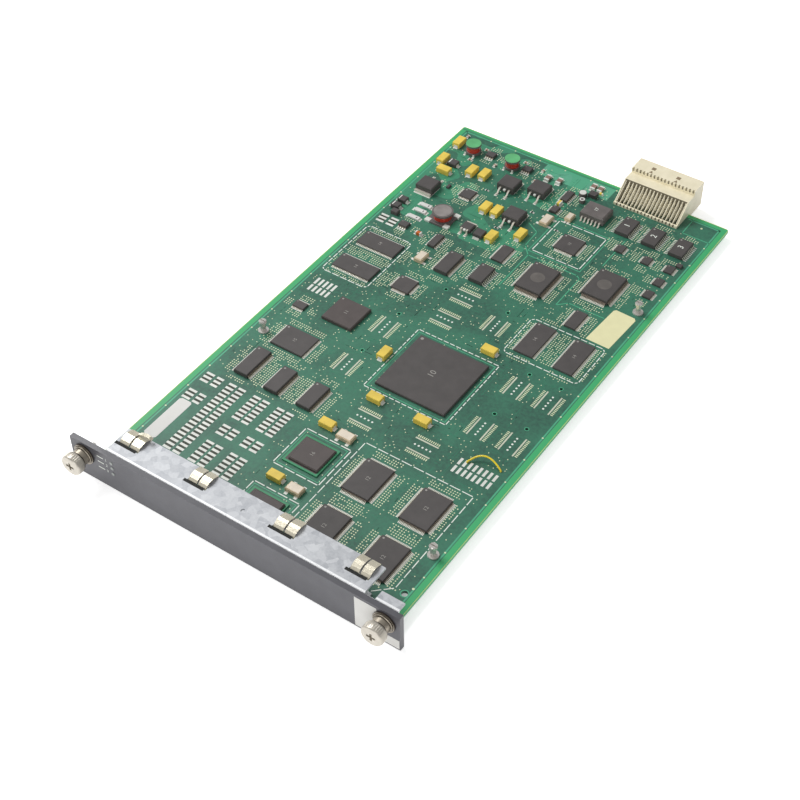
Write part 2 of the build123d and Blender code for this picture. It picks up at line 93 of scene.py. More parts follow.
class Term:
    # A shader socket, or a plain number, that takes part in arithmetic.
    def __init__(self, shade, source):
        self.shade = shade
        self.source = source

    def math(self, kind, *others):
        return self.shade.node("ShaderNodeMath", {"operation": kind}, (self,) + others)[0]

    def __add__(self, other):
        return self.math("ADD", other)

    def __radd__(self, other):
        return self.math("ADD", other)

    def __sub__(self, other):
        return self.math("SUBTRACT", other)

    def __rsub__(self, other):
        return Term(self.shade, other).math("SUBTRACT", self)

    def __mul__(self, other):
        return self.math("MULTIPLY", other)

    def __rmul__(self, other):
        return self.math("MULTIPLY", other)

    def __truediv__(self, other):
        return self.math("DIVIDE", other)

    def __rtruediv__(self, other):
        return Term(self.shade, other).math("DIVIDE", self)

    def above(self, other):
        return self.math("GREATER_THAN", other)

    def below(self, other):
        return self.math("LESS_THAN", other)

    def both(self, other):
        return self.math("MULTIPLY", other)

    def either(self, other):
        return self.math("MAXIMUM", other)

    def within(self, low, high):
        return self.above(low).both(self.below(high))

    def size(self):
        return self.math("ABSOLUTE")


class Nodes:
    # The nodes of one material or of the world, made through one method.
    def __init__(self, tree):
        self.tree = tree

    def node(self, kind, settings, inputs):
        made = self.tree.nodes.new(kind)
        for key, value in settings.items():
            setattr(made, key, value)
        pairs = inputs.items() if isinstance(inputs, dict) else enumerate(inputs)
        for key, value in pairs:
            source = value.source if isinstance(value, Term) else value
            if isinstance(source, bpy.types.NodeSocket):
                self.tree.links.new(source, made.inputs[key])
            else:
                made.inputs[key].default_value = source
        return [Term(self, s) for s in made.outputs]

    def blend(self, factor, first, second):
        # The colour mixer's own sockets: 0 is the factor, 6 and 7 are the colours.
        inputs = {0: factor, 6: first, 7: second}
        return self.node("ShaderNodeMix", {"data_type": "RGBA"}, inputs)[2]


class Shade(Nodes):
    # One material: a principled surface and the nodes that feed it.
    def __init__(self, name, rough, metal=0.0, colour="808080", coat=0.0):
        self.mat = bpy.data.materials.new(name)
        self.mat.use_nodes = True
        super().__init__(self.mat.node_tree)
        self.surface = self.tree.nodes["Principled BSDF"]
        self.set("Base Color", linear(colour))
        self.set("Roughness", rough)
        self.set("Metallic", metal)
        self.set("Coat Weight", coat)
        self.set("IOR", 1.5)

    def set(self, socket, value):
        if isinstance(value, Term):
            self.tree.links.new(value.source, self.surface.inputs[socket])
        else:
            self.surface.inputs[socket].default_value = value

    def place(self):
        # The place on the piece, in metres of its own frame.
        return self.node("ShaderNodeTexCoord", {}, ())[3]

    def axes(self):
        return self.node("ShaderNodeSeparateXYZ", {}, (self.place(),))[:3]

    def noise(self, scale, detail=3.0, rough=0.5):
        inputs = {"Vector": self.place(), "Scale": scale, "Detail": detail, "Roughness": rough}
        return self.node("ShaderNodeTexNoise", {}, inputs)[0]

    def cells(self, scale):
        # One random shade for each cell.
        inputs = {"Vector": self.place(), "Scale": scale}
        return self.node("ShaderNodeTexVoronoi", {}, inputs)[1]

    def ramp(self, term, low, high, a=0.0, b=1.0):
        inputs = {"Value": term, "From Min": low, "From Max": high, "To Min": a, "To Max": b}
        return self.node("ShaderNodeMapRange", {"clamp": True}, inputs)[0]

    def bump(self, height, strength, distance):
        inputs = {"Strength": strength, "Distance": distance, "Height": height}
        self.set("Normal", self.node("ShaderNodeBump", {}, inputs)[0])


# The scale of a cloudy tone, and the depth in metres of a fine grain
CLOUD = 180.0
SHALLOW = 0.00005


def plain(name, colour, rough, metal, vary=0.06, coat=0.0, grain=900.0, bump=0.0):
    # A finish of one colour, a little cloudy, with a fine grain in its gloss.
    shade = Shade(name, rough, metal, colour, coat)
    base = linear(colour)
    dark = tuple(c * (1 - vary * 2.2) for c in base[:3]) + (1.0,)
    light = tuple(min(1.0, c * (1 + vary)) for c in base[:3]) + (1.0,)
    cloud = shade.noise(CLOUD)
    shade.set("Base Color", shade.blend(shade.ramp(cloud, 0.3, 0.7), dark, light))
    speck = shade.noise(grain)
    shade.set("Roughness", shade.ramp(speck, 0.25, 0.75, rough - 0.06, rough + 0.06))
    if bump:
        shade.bump(speck, bump, SHALLOW)
    return shade.mat


# Board, in metres of the row frame: mottled green, a brighter band at its sides and
# rear edge, pale copper areas at the rear and under the power parts, painted shade under the tails
TOP_SKIN = 0.0046
SIDE_BAND = 0.0759
REAR_BAND = 0.1446
board = Shade("green solder mask", 0.42, 0.0, "1f7a5c", 0.05)
bx, by, bz = board.axes()
patch = board.noise(42.0, 2.0, 0.4)
weave = board.noise(700.0, 2.0)
tone = board.blend(board.ramp(patch, 0.42, 0.58), linear("34705a"), linear("2d5a4b"))
tone = board.blend(board.ramp(weave, 0.3, 0.7, 0.0, 0.35), tone, linear("408c6c"))
upper = bz.above(TOP_SKIN)
pour = bx.within(-0.024, 0.0165).both(by.within(0.1338, 0.1434)).both(upper)
tone = board.blend(pour * 0.75, tone, linear("63b794"))
power = board.noise(85.0, 0.0).above(0.54).both(bx.below(0.002)).both(by.above(0.0665))
power = power.both(upper)
tone = board.blend(power * 0.5, tone, linear("45a67c"))
# Painted shade on the board in the recess under the connector's tails
shade_under_tails = bx.within(0.0213, 0.056).both(by.within(0.1347, 0.1443)).both(upper)
tone = board.blend(shade_under_tails * 0.75, tone, linear("20281c"))
rim = bx.size().above(SIDE_BAND).either(by.above(REAR_BAND))
tone = board.blend(rim, tone, linear("3fae6f"))
step = by.within(REAR_BAND, 0.1458).both(bx.below(0.0182))
tone = board.blend(step, tone, linear("3a8f63"))
board.set("Base Color", tone)
board.bump(weave, 0.08, SHALLOW)

panel_m = plain("dark panel paint", "505056", 0.42, 0.0, 0.05, 0.1, 2500.0, 0.12)

# Bracket: flaked zinc, with a painted highlight along the fold
FOLD_Y = -0.1478
zinc = Shade("galvanised sheet", 0.4, 0.35, "b9bbbf")
flake = zinc.cells(330.0)
fog = zinc.noise(420.0, 4.0, 0.7)
mottle = zinc.ramp(flake * 0.5 + fog, 0.45, 1.05)
sheet = zinc.blend(mottle, linear("a2a5aa"), linear("c9cbce"))
# Painted highlight: a near-white band along the fold
fold = zinc.axes()[1].below(FOLD_Y)
zinc.set("Base Color", zinc.blend(fold * 0.75, sheet, linear("f2f3f4")))
zinc.set("Roughness", zinc.ramp(fog, 0.3, 0.7, 0.44, 0.6))
zinc.bump(fog, 0.06, 0.0001)

# Connector: painted shade in the recess behind the tails, in the notches of the step and of the
# comb
TAIL_ROOM = (0.02123, 0.05607)
RECESS_Y = (0.14428 - 0.0091, 0.14432)
STEP_NOTCH_Y = (0.15095, 0.15182)
STEP_NOTCH_Z = (0.01428, 0.01683)
COMB_LEFT = 0.02065
COMB_PITCH = 0.002
COMB_FLOOR = 0.00505
ivory = Shade("ivory plastic", 0.42, 0.0, "ece3c8", 0.1)
vx, vy, vz = ivory.axes()
inside = vx.within(*TAIL_ROOM)
recess = inside.both(vy.within(*RECESS_Y))
notch = inside.both(vy.within(*STEP_NOTCH_Y)).both(vz.within(*STEP_NOTCH_Z))
cloud = ivory.ramp(ivory.noise(CLOUD), 0.3, 0.7)
body = ivory.blend(cloud, linear("e9e0c2"), linear("f7eed2"))
comb_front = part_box("rear_connector")[0][1]
tooth = ((vx - COMB_LEFT) / COMB_PITCH).math("PINGPONG", 0.5)
comb = tooth.below(0.18).both(vx.within(0.0217, 0.0556))
comb = comb.both(vy.below(comb_front + 0.00065)).both(vz.above(COMB_FLOOR))
# These dark parts are painted shade in the recess and the notches, not the plastic's colour
dark = recess.either(notch * 0.6).either(comb)
ivory.set("Base Color", ivory.blend(dark * 0.8, body, linear("4a3d2c")))

MATS = {
    "board_green": board.mat,
    "panel_paint": panel_m,
    "galvanised": zinc.mat,
    "screw_metal": plain("warm plated metal", "ccc6ba", 0.36, 0.6, 0.08),
    "zinc": plain("zinc plated", "b9b9b7", 0.32, 0.9),
    "spring_steel": plain("spring steel", "8b8b8e", 0.28, 0.9),
    "clip_metal": plain("spring clip metal", "e8e1cc", 0.3, 0.55, 0.04),
    "lens": plain("status lens", "8b908c", 0.2, 0.0, 0.02, 0.3),
    "ivory": ivory.mat,
    "contact_metal": plain("contact metal", "ece4c8", 0.3, 0.45, 0.05),
    "chip_black": plain("moulded chip", "4e4a49", 0.55, 0.0, 0.06, 0.0, 3000.0, 0.1),
    "array_black": plain("dark moulded chip", "504846", 0.48, 0.0, 0.06, 0.05, 3000.0, 0.1),
    "lead_metal": plain("tinned leads", "e2ddd0", 0.34, 0.45, 0.05),
    "ferrite": plain("ferrite", "6b6563", 0.5, 0.0, 0.1),
    "winding_red": plain("enamelled winding", "c43a2a", 0.26, 0.1, 0.1, 0.4),
    "tantalum": plain("tantalum case", "edcf58", 0.4, 0.0, 0.06, 0.1),
    "cream": plain("crystal can", "d8c3a2", 0.32, 0.15, 0.06, 0.1),
    "resistor": plain("resistor body", "e2e2de", 0.4, 0.1, 0.04),
    "ceramic_pink": plain("ceramic body", "8f7468", 0.38, 0.0, 0.06, 0.1),
    "post_metal": plain("post metal", "d9d6d0", 0.24, 0.65, 0.04),
    "wire_yellow": plain("yellow insulation", "ead22a", 0.35, 0.0, 0.04, 0.2),
}

# Retainers: painted shade at the rim, in the corner before the step and beside the knob's skirt.
# The screws' centres are this far from the middle and from the floor, in metres.
SCREW_AWAY = 0.0782
SCREW_UP = 0.01365
shaded_plating = Shade("plated metal with painted shade", 0.36, 0.65)
rx, ry, rz = shaded_plating.axes()
off_x = rx.size() - SCREW_AWAY
off_z = rz - SCREW_UP
radius = (off_x * off_x + off_z * off_z).math("POWER", 0.5)
rim_line = radius.above(0.00512).both(ry.above(-0.1526))
corner_line = radius.within(0.0045, 0.00488).both(ry.above(-0.1527))
step_line = ry.within(-0.1534, -0.15305)
skirt_line = ry.within(-0.1565, -0.1556)
painted_shade_lines = rim_line.either(corner_line).either(skirt_line).either(step_line * 0.7)
# The dark brown lines are painted shade in the gaps and corners of the plated metal
shaded_plating.set("Base Color", shaded_plating.blend(painted_shade_lines * 0.92, linear("aea596"), linear("2e2720")))

# Fine leads: bright feet and browner shoulders
SHOULDER_Z = 0.00535
lead = Shade("fine leads", 0.34, 0.4)
shoulder = lead.axes()[2].above(SHOULDER_Z)
lead.set("Base Color", lead.blend(shoulder, linear("f2ede0"), linear("9c8e80")))

# Finishes of the pieces that only the scene has
silk_m = plain("printed white", "eef3ea", 0.55, 0.0, 0.03)
pale_m = plain("light green line", "4fae86", 0.4, 0.0, 0.04)
pad_m = plain("tinned pad", "e2e4dd", 0.5, 0.1, 0.05)
green_m = plain("green cap", "62b87a", 0.4, 0.0, 0.08, 0.1)
bar_m = plain("long pads", "cfd2bd", 0.5, 0.1, 0.05)
edge_m = plain("bare laminate edge", "b9cf7c", 0.6, 0.0, 0.06)
gap_m = plain("dark strips between pads", "34402f", 0.6, 0.0, 0.1)
gold_m = plain("gold pad", "dfe6c0", 0.5, 0.1, 0.06)
trace_m = plain("covered trace", "2f8264", 0.32, 0.0, 0.05, 0.2)
hole_m = plain("hole shadow", "1a2a24", 0.7, 0.0, 0.02)
slot_m = plain("slot shadow", "1b1d1a", 0.8, 0.0, 0.02)
label_m = plain("blank white label", "e4e3df", 0.6, 0.0, 0.01)
cream_m = plain("cream label", "eae6b6", 0.6, 0.0, 0.02)
mlcc_m = plain("small ceramic body", "a88d78", 0.4, 0.0, 0.08)
chipres_m = plain("small resistor body", "33302f", 0.4, 0.0, 0.05)
substrate_m = plain("chip substrate", "3c9468", 0.35, 0.0, 0.05, 0.2)
lid_m = plain("crystal lid", "ece0cd", 0.3, 0.15, 0.06, 0.1)
orange_m = plain("orange case", "c8641f", 0.4, 0.0, 0.05, 0.1)
disc_m = plain("coil top", "8e8885", 0.42, 0.0, 0.14, 0.1)
faint_m = plain("faint round mark", "68635f", 0.6, 0.0, 0.1)
brown_m = plain("printed brown", "8d7d62", 0.6, 0.0, 0.04)
printed_m = plain("printed grey", "9d9a95", 0.6, 0.0, 0.04)

# The model's own pieces, each with the finish of its slot
nodes = frame["nodes"]
for part in frame["record"]["subparts"]:
    cad = nodes[part["node"]]
    cad.data.materials.clear()
    cad.data.materials.append(MATS[part["material_slot"]])


def band_faces(rows, n, joined=False):
    # Four-sided faces between rows of n points, each row closed on itself.
    faces = []
    for k in range(rows if joined else rows - 1):
        m = (k + 1) % rows
        for i in range(n):
            j = (i + 1) % n
            faces.append((k * n + i, k * n + j, m * n + j, m * n + i))
    return faces


# A fine lead's thickness and the length of its foot
LEAD_THICK = 0.15
LEAD_FOOT = 0.55


class Piece:
    # Gathers many small solids into one mesh, in board millimetres.
    def __init__(self, name, material, slot, body="module"):
        self.name = name
        self.material = material
        self.slot = slot
        self.body = body
        self.points = []
        self.faces = []

    def add(self, points, faces):
        start = len(self.points)
        self.points.extend(points)
        self.faces.extend([tuple(start + i for i in f) for f in faces])

    def prism(self, outline, z0, z1):
        n = len(outline)
        points = [(x, y, z0) for x, y in outline] + [(x, y, z1) for x, y in outline]
        faces = [tuple(range(n))[::-1], tuple(range(n, 2 * n))]
        faces += [(i, (i + 1) % n, n + (i + 1) % n, n + i) for i in range(n)]
        self.add(points, faces)

    def box(self, x0, x1, y0, y1, z0=0.0, z1=0.04):
        self.prism([(x0, y0), (x1, y0), (x1, y1), (x0, y1)], z0, z1)

    def pad(self, x, y, w, d, z0=0.0, z1=0.04):
        self.box(x - w / 2, x + w / 2, y - d / 2, y + d / 2, z0, z1)

    def disc(self, x, y, r, z0=0.0, z1=0.04, n=10):
        turn = [(x + r * math.cos(2 * math.pi * i / n), y + r * math.sin(2 * math.pi * i / n))
                for i in range(n)]
        self.prism(turn, z0, z1)

    def ring(self, x, y, r0, r1, z0=0.0, z1=0.04, n=12):
        points = []
        for r, z in ((r0, z0), (r1, z0), (r1, z1), (r0, z1)):
            for i in range(n):
                a = 2 * math.pi * i / n
                points.append((x + r * math.cos(a), y + r * math.sin(a), z))
        self.add(points, band_faces(4, n, True))

    def line(self, points, w, z0=0.0, z1=0.03):
        # A strip of width w along each step of the points.
        for (ax, ay), (ex, ey) in zip(points, points[1:]):
            run = math.hypot(ex - ax, ey - ay)
            ux = (ex - ax) / run * w / 2
            uy = (ey - ay) / run * w / 2
            self.prism([(ax - ux + uy, ay - uy - ux), (ex + ux + uy, ey + uy - ux),
                        (ex + ux - uy, ey + uy + ux), (ax - ux - uy, ay - uy + ux)], z0, z1)

    def frame(self, x0, x1, y0, y1, w, z1=0.03):
        # Four strips round a rectangle, centred on its sides.
        h = w / 2
        for y in (y0, y1):
            self.box(x0 - h, x1 + h, y - h, y + h, 0.0, z1)
        for x in (x0, x1):
            self.box(x - h, x + h, y0 + h, y1 - h, 0.0, z1)

    def lead(self, x, y, dx, dy, reach, high, w):
        # A gull-wing lead that leaves the body at (x, y) along (dx, dy).
        t = LEAD_THICK
        knee = reach - LEAD_FOOT
        half = knee * 0.45
        path = [(0, high), (half, high), (knee, t), (reach, t),
                (reach, 0), (knee - 0.05, 0), (half - 0.05, high - t), (0, high - t)]
        points = []
        for s in (-w / 2, w / 2):
            points += [(x + dx * u - dy * s, y + dy * u + dx * s, z) for u, z in path]
        faces = [(0, 1, 6, 7), (1, 2, 5, 6), (2, 3, 4, 5)]
        faces += [tuple(8 + i for i in f)[::-1] for f in faces[:3]]
        faces += [(i, 8 + i, 8 + (i + 1) % 8, (i + 1) % 8) for i in range(8)]
        self.add(points, faces)

    def lathe(self, profile, sx, sz, n=64):
        # Turned about a line along y, from (radius, y) points.
        turn = [2 * math.pi * i / n for i in range(n)]
        points = [(sx + r * math.cos(a), y, sz + r * math.sin(a)) for r, y in profile for a in turn]
        self.add(points, band_faces(len(profile), n))

    def dashes(self, points, w, dash, gap):
        # A line along the points, broken into dashes of one length on each side.
        for (ax, ay), (ex, ey) in zip(points, points[1:]):
            run = math.hypot(ex - ax, ey - ay)
            count = max(1, round(run / (dash + gap)))
            part = run / count
            for k in range(count):
                t0 = (k * part + gap / 2) / run
                t1 = ((k + 1) * part - gap / 2) / run
                self.line([(ax + (ex - ax) * t0, ay + (ey - ay) * t0),
                           (ax + (ex - ax) * t1, ay + (ey - ay) * t1)], w)

    def tube(self, points, r, n):
        # A round rod along the points, closed at both ends.
        rows = []
        for i, p in enumerate(points):
            a = Vector(points[max(i - 1, 0)])
            b = Vector(points[min(i + 1, len(points) - 1)])
            t = (b - a).normalized()
            side = t.cross(Vector((0, 1, 0.001))).normalized()
            over = t.cross(side)
            rows.append([tuple(Vector(p) + r * (math.cos(2 * math.pi * k / n) * side
                                                + math.sin(2 * math.pi * k / n) * over))
                         for k in range(n)])
        flat = [p for row in rows for p in row]
        ends = [tuple(range(n))[::-1], tuple(len(flat) - n + k for k in range(n))]
        self.add(flat, band_faces(len(rows), n) + ends)

    def done(self, smooth=False):
        # Makes the mesh, which rides its body and takes the finish it was given.
        mesh = bpy.data.meshes.new(self.name)
        mesh.from_pydata([spot(*p) for p in self.points], [], self.faces)
        mesh.materials.append(self.material)
        mesh.validate()
        if smooth:
            mesh.shade_smooth()
            mesh.set_sharp_from_angle(angle=0.6)
        made = bpy.data.objects.new(self.name, mesh)
        scene.collection.objects.link(made)
        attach(made, self.body)
        return made


PRINT_THICK = 0.02


def number(text, x, y, z, size, material, turn, upright=False):
    # A plain number as thin raised print, centred on (x, y, z).
    curve = bpy.data.curves.new("plain number", "FONT")
    curve.body = text
    curve.size = size / 1000
    curve.extrude = PRINT_THICK / 2 / 1000
    curve.align_x = "CENTER"
    curve.align_y = "CENTER"
    curve.resolution_u = 2
    holder = bpy.data.objects.new("plain number", curve)
    scene.collection.objects.link(holder)
    bpy.context.view_layer.update()
    graph = bpy.context.evaluated_depsgraph_get()
    mesh = bpy.data.meshes.new_from_object(holder.evaluated_get(graph))
    bpy.data.objects.remove(holder)
    mesh.materials.clear()
    mesh.materials.append(material)
    spin = Matrix.Rotation(math.radians(turn), 4, "Z")
    stand = Matrix.Rotation(math.radians(90 if upright else 0), 4, "X")
    mesh.transform(Matrix.Translation(spot(x, y, z)) @ stand @ spin)
    made = bpy.data.objects.new("plain_number", mesh)
    scene.collection.objects.link(made)
    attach(made, "module")


pads = Piece("solder_pads", pad_m, "contact_metal")
golds = Piece("gold_pads", gold_m, "contact_metal")
silk = Piece("printed_lines", silk_m, "ivory")
pale = Piece("light_board_lines", pale_m, "board_green")
fine = Piece("fine_leads", lead.mat, "lead_metal")
bodies = Piece("small_ceramic_bodies", mlcc_m, "ceramic_pink")
blacks = Piece("small_resistor_bodies", chipres_m, "chip_black")
caps = Piece("small_part_ends", pad_m, "lead_metal")
gaps = Piece("dark_pad_strips", gap_m, "board_green")
bars = Piece("pad_bars", bar_m, "contact_metal")
edge = Piece("bare_board_edge", edge_m, "board_green")

# The board's grid, the pitch of its pad rows, and a fine lead's width as a share of its pitch
GRID = 1.27
ROW = 2 * GRID
LEAD_SHARE = 0.6


def side_leads(x, y, count, pitch, dx, dy, reach, high):
    # A row of leads along one side, centred on (x, y), leaving along (dx, dy).
    w = pitch * LEAD_SHARE
    for i in range(count):
        k = (i - (count - 1) / 2) * pitch
        px = x + k * abs(dy)
        py = y + k * abs(dx)
        fine.lead(px, py, dx, dy, reach, high, w)
        pads.pad(px + dx * (reach - 0.15), py + dy * (reach - 0.15),
                 w + 0.08 if dx == 0 else 1.1, w + 0.08 if dy == 0 else 1.1)


# Packages: centre, width and depth of the body, leads per side along x and y,
# pitch, reach and height where the lead leaves the body
CHIPS = [(105.3, 61.4, 14, 20, 20, 30, 0.65, 1.45, 0.75),
         (135.1, 61.4, 14, 20, 20, 30, 0.65, 1.45, 0.75),
         (105.3, 30.0, 14, 20, 20, 30, 0.65, 1.45, 0.75),
         (135.1, 30.0, 14, 20, 20, 30, 0.65, 1.45, 0.75),
         (98.6, 212.0, 14, 20, 20, 30, 0.65, 1.9, 1.35),
         (127.8, 225.5, 14, 20, 20, 30, 0.65, 1.9, 1.35),
         (97.9, 243.9, 12, 12, 20, 20, 0.5, 1.0, 0.6),
         (47.1, 173.6, 10, 10, 16, 16, 0.5, 1.0, 0.6), (34.1, 249.9, 7, 7, 8, 8, 0.8, 1.0, 0.6),
         (19.8, 191.8, 22.22, 10.16, 27, 0, 0.8, 0.8, 0.55),
         (19.8, 171.2, 22.22, 10.16, 27, 0, 0.8, 0.8, 0.55),
         (119.3, 175.6, 10.16, 22.22, 0, 27, 0.8, 0.8, 0.55),
         (140.2, 175.6, 10.16, 22.22, 0, 27, 0.8, 0.8, 0.55),
         (27.0, 112.6, 18.4, 14.0, 0, 28, 0.5, 0.8, 0.55),
         (14.0, 133.8, 6.5, 4.4, 10, 0, 0.65, 0.95, 0.55),
         (74.1, 219.6, 6.1, 12.5, 0, 24, 0.5, 0.95, 0.55),
         (128.1, 198.1, 6.1, 12.5, 0, 24, 0.5, 0.95, 0.55),
         (120.3, 255.3, 4.4, 5.5, 0, 8, 0.65, 0.95, 0.55),
         (135.3, 254.5, 4.4, 5.5, 0, 8, 0.65, 0.95, 0.55),
         (147.7, 254.8, 4.4, 5.5, 0, 8, 0.65, 0.95, 0.55),
         (147.7, 243.6, 4.4, 5.5, 0, 8, 0.65, 0.95, 0.55),
         (147.7, 233.1, 4.4, 5.5, 0, 8, 0.65, 0.95, 0.55),
         (19.9, 90.2, 7.5, 18.4, 0, 28, 0.635, 1.4, 1.2),
         (37.8, 87.8, 7.5, 15.9, 0, 24, 0.635, 1.4, 1.2),
         (56.2, 87.8, 7.5, 15.9, 0, 24, 0.635, 1.4, 1.2),
         (56.2, 198.5, 7.5, 15.9, 0, 24, 0.635, 1.4, 1.2),
         (41.3, 209.4, 3.9, 9.9, 0, 8, 1.27, 1.05, 0.8),
         (77.7, 276.4, 3.9, 8.6, 0, 7, 1.27, 1.05, 0.8),
         (77.7, 263.7, 3.9, 4.9, 0, 4, 1.27, 1.05, 0.8),
         (26.4, 284.6, 4.9, 3.9, 4, 0, 1.27, 1.05, 0.8),
         (48.8, 284.6, 4.9, 3.9, 4, 0, 1.27, 1.05, 0.8),
         (20.9, 211.3, 4.9, 3.9, 4, 0, 1.27, 1.05, 0.8)]
for cx, cy, w, d, nx, ny, pitch, reach, high in CHIPS:
    if ny:
        side_leads(cx - w / 2, cy, ny, pitch, -1, 0, reach, high)
        side_leads(cx + w / 2, cy, ny, pitch, 1, 0, reach, high)
    if nx:
        side_leads(cx, cy - d / 2, nx, pitch, 0, -1, reach, high)
        side_leads(cx, cy + d / 2, nx, pitch, 0, 1, reach, high)

# Line chips: their leads are solids of the model, so they only get pads
for cx, cy in ((74.0, 200.5), (115.2, 271.2), (130.2, 271.2), (145.2, 271.2)):
    CHIPS.append((cx, cy, 7.5, 12.8, 0, 10, GRID, 1.45, 1.1))
    for k in range(10):
        for side in (-1, 1):
            pads.pad(cx + side * 5.1, cy + GRID * (k - 4.5), 1.8, 0.6)


def ring_of(x0, x1, y0, y1, cut=0.0):
    # The corners of a rectangle and the first one again, with the corners cut off if wanted.
    if not cut:
        return [(x0, y0), (x1, y0), (x1, y1), (x0, y1), (x0, y0)]
    return [(x0 + cut, y0), (x1 - cut, y0), (x1, y0 + cut), (x1, y1 - cut), (x1 - cut, y1),
            (x0 + cut, y1), (x0, y1 - cut), (x0, y0 + cut), (x0 + cut, y0)]


# Printed frames in long dashes, some with a light line inside or outside. The three
# rows before the last are the sides of the one that is open towards the panel.
FRAMES = [(64.8, 89.3, 47.3, 71.5), (64.8, 89.3, 10.5, 34.5), (84.0, 110.7, 231.0, 258.3),
          (110.2, 149.8, 161.5, 188.5), (5.8, 32.4, 161.5, 201.5), (91.5, 147.5, 79.0, 79.0),
          (91.5, 91.5, 14.0, 79.0), (147.5, 147.5, 21.0, 79.0), (70.0, 114.5, 107.3, 152.0)]
for x0, x1, y0, y1 in FRAMES[:2]:
    silk.dashes(ring_of(x0, x1, y0, y1), 0.5, 5.0, 1.5)
    pale.frame(x0 + 1.2, x1 - 1.2, y0 + 1.2, y1 - 1.2, 0.35)
silk.dashes(ring_of(*FRAMES[2]), 0.48, 6.0, 1.4)
pale.frame(82.6, 112.0, 229.6, 259.6, 0.45)
for x0, x1, y0, y1 in FRAMES[3:5]:
    silk.dashes(ring_of(x0, x1, y0, y1, 1.5), 0.48, 3.0, 1.3)
silk.dashes([(91.5, 14.0), (91.5, 79.0), (147.5, 79.0), (147.5, 21.0), (140.0, 14.0)],
            0.45, 4.6, 1.4)
silk.dashes([(140.0, 14.0), (129.0, 8.0)], 0.45, 3.6, 1.4)
pale.frame(71.3, 113.3, 108.5, 150.5, 0.4)
silk.dashes(ring_of(*FRAMES[-1]), 0.45, 2.2, 1.3)

# Bar pairs for unfitted parts: two long bars, dots between, short pads outside
BAR_HALF = 0.36
BAR_AWAY = 1.5
BAR_PADS = 12
PAD_INSET = 0.6
BAR_DOTS = 5
DOT_INSET = 2
BARS_ALONG_X = ((70.0, 82.3, 179.3, 186.5), (70.0, 82.3, 161.2, 168.3), (76.7, 88.8, 87.0, 94.2),
                (107.8, 119.8, 86.7, 94.0))
BARS_ALONG_Y = ((95.0, 102.0, 168.0, 179.6), (52.3, 59.4, 138.0, 150.5),
                (52.3, 59.4, 108.0, 120.0), (125.0, 132.0, 138.0, 150.5),
                (125.0, 132.0, 108.0, 120.0), (141.4, 148.7, 138.0, 150.5),
                (141.4, 148.7, 108.0, 120.0))


def spread(start, stop, inset, count):
    # Even places between two ends, the first and last one inset from them.
    return [start + inset + k * (stop - start - 2 * inset) / (count - 1) for k in range(count)]


for x0, x1, y0, y1 in BARS_ALONG_X:
    for y in (y0, y1):
        bars.box(x0, x1, y - BAR_HALF, y + BAR_HALF)
    for x in spread(x0, x1, PAD_INSET, BAR_PADS):
        golds.pad(x, y0 - BAR_AWAY, 0.5, 1.3)
        golds.pad(x, y1 + BAR_AWAY, 0.5, 1.3)
    for x in spread(x0, x1, DOT_INSET, BAR_DOTS):
        silk.disc(x, (y0 + y1) / 2, 0.5)
for x0, x1, y0, y1 in BARS_ALONG_Y:
    for x in (x0, x1):
        bars.box(x - BAR_HALF, x + BAR_HALF, y0, y1)
    for y in spread(y0, y1, PAD_INSET, BAR_PADS):
        golds.pad(x0 - BAR_AWAY, y, 1.3, 0.5)
        golds.pad(x1 + BAR_AWAY, y, 1.3, 0.5)
    for y in spread(y0, y1, DOT_INSET, BAR_DOTS):
        silk.disc((x0 + x1) / 2, y, 0.5)

PAD_HALF = 0.65


def pad_rows(spans, rows):
    # Rows of unfitted pads, with dark strips between near ones.
    for x0, x1 in spans:
        for high, low in zip(rows, rows[1:]):
            if high - low < 3.0:
                gaps.box(x0 + 0.2, x1 - 0.2, low + PAD_HALF, high - PAD_HALF, 0.0, 0.02)
        for y in rows:
            pads.box(x0, x1, y - PAD_HALF, y + PAD_HALF)


pad_rows(((6.0, 10.5), (12.0, 15.8)), (74.0, 71.5, 69.0, 61.4, 58.9, 56.3))
pad_rows(((19.0, 23.2), (24.5, 28.5)), [74.0 - ROW * i for i in range(19)])
many = [74.0 - ROW * i for i in range(7)] + [52.5, 50.0, 47.4] + [41.0 - ROW * i for i in range(6)]
pad_rows(((33.0, 37.2), (38.3, 42.2), (46.5, 50.5), (51.7, 55.7)), many)
pad_rows(((6.0, 10.5), (12.0, 16.5)), (212.8, 210.3, 207.7))
for i in range(5):
    x = 9.7 + ROW * i
    pads.box(x - PAD_HALF, x + PAD_HALF, 150.5, 155.3)
    pads.box(x - PAD_HALF, x + PAD_HALF, 145.3, 149.6)
for i in range(8):
    x = 131.7 + ROW * i
    pads.box(x - PAD_HALF, x + PAD_HALF, 91.0, 95.0)
    pads.box(x - PAD_HALF, x + PAD_HALF, 86.0, 90.0)

# Light line along the edges, its row of bright dots, and bare laminate at the rim
LINE_LEFT = 4.1
LINE_RIGHT = 154.1
LINE_REAR = 295.5
SIDE_DOTS = 15.45
REAR_DOTS = 15.3
pale.line([(LINE_LEFT, 5.0), (LINE_LEFT, LINE_REAR), (97.0, LINE_REAR)], 0.75)
pale.line([(137.5, LINE_REAR), (LINE_RIGHT, LINE_REAR), (LINE_RIGHT, 5.0)], 0.75)
edge.box(0.02, 0.4, 4.0, 298.3, 0.0, 0.02)
edge.box(1.0, 157.0, 298.6, 298.98, 0.0, 0.02)
edge.box(157.6, 157.88, 8.0, 298.3, 0.0, 0.02)
for k in range(18):
    for x in (LINE_LEFT, LINE_RIGHT):
        golds.disc(x, 16.4 + SIDE_DOTS * k, 0.44, 0.0, 0.05, 8)
for k in range(1, 7):
    golds.disc(LINE_LEFT + REAR_DOTS * k, LINE_REAR, 0.44, 0.0, 0.05, 8)

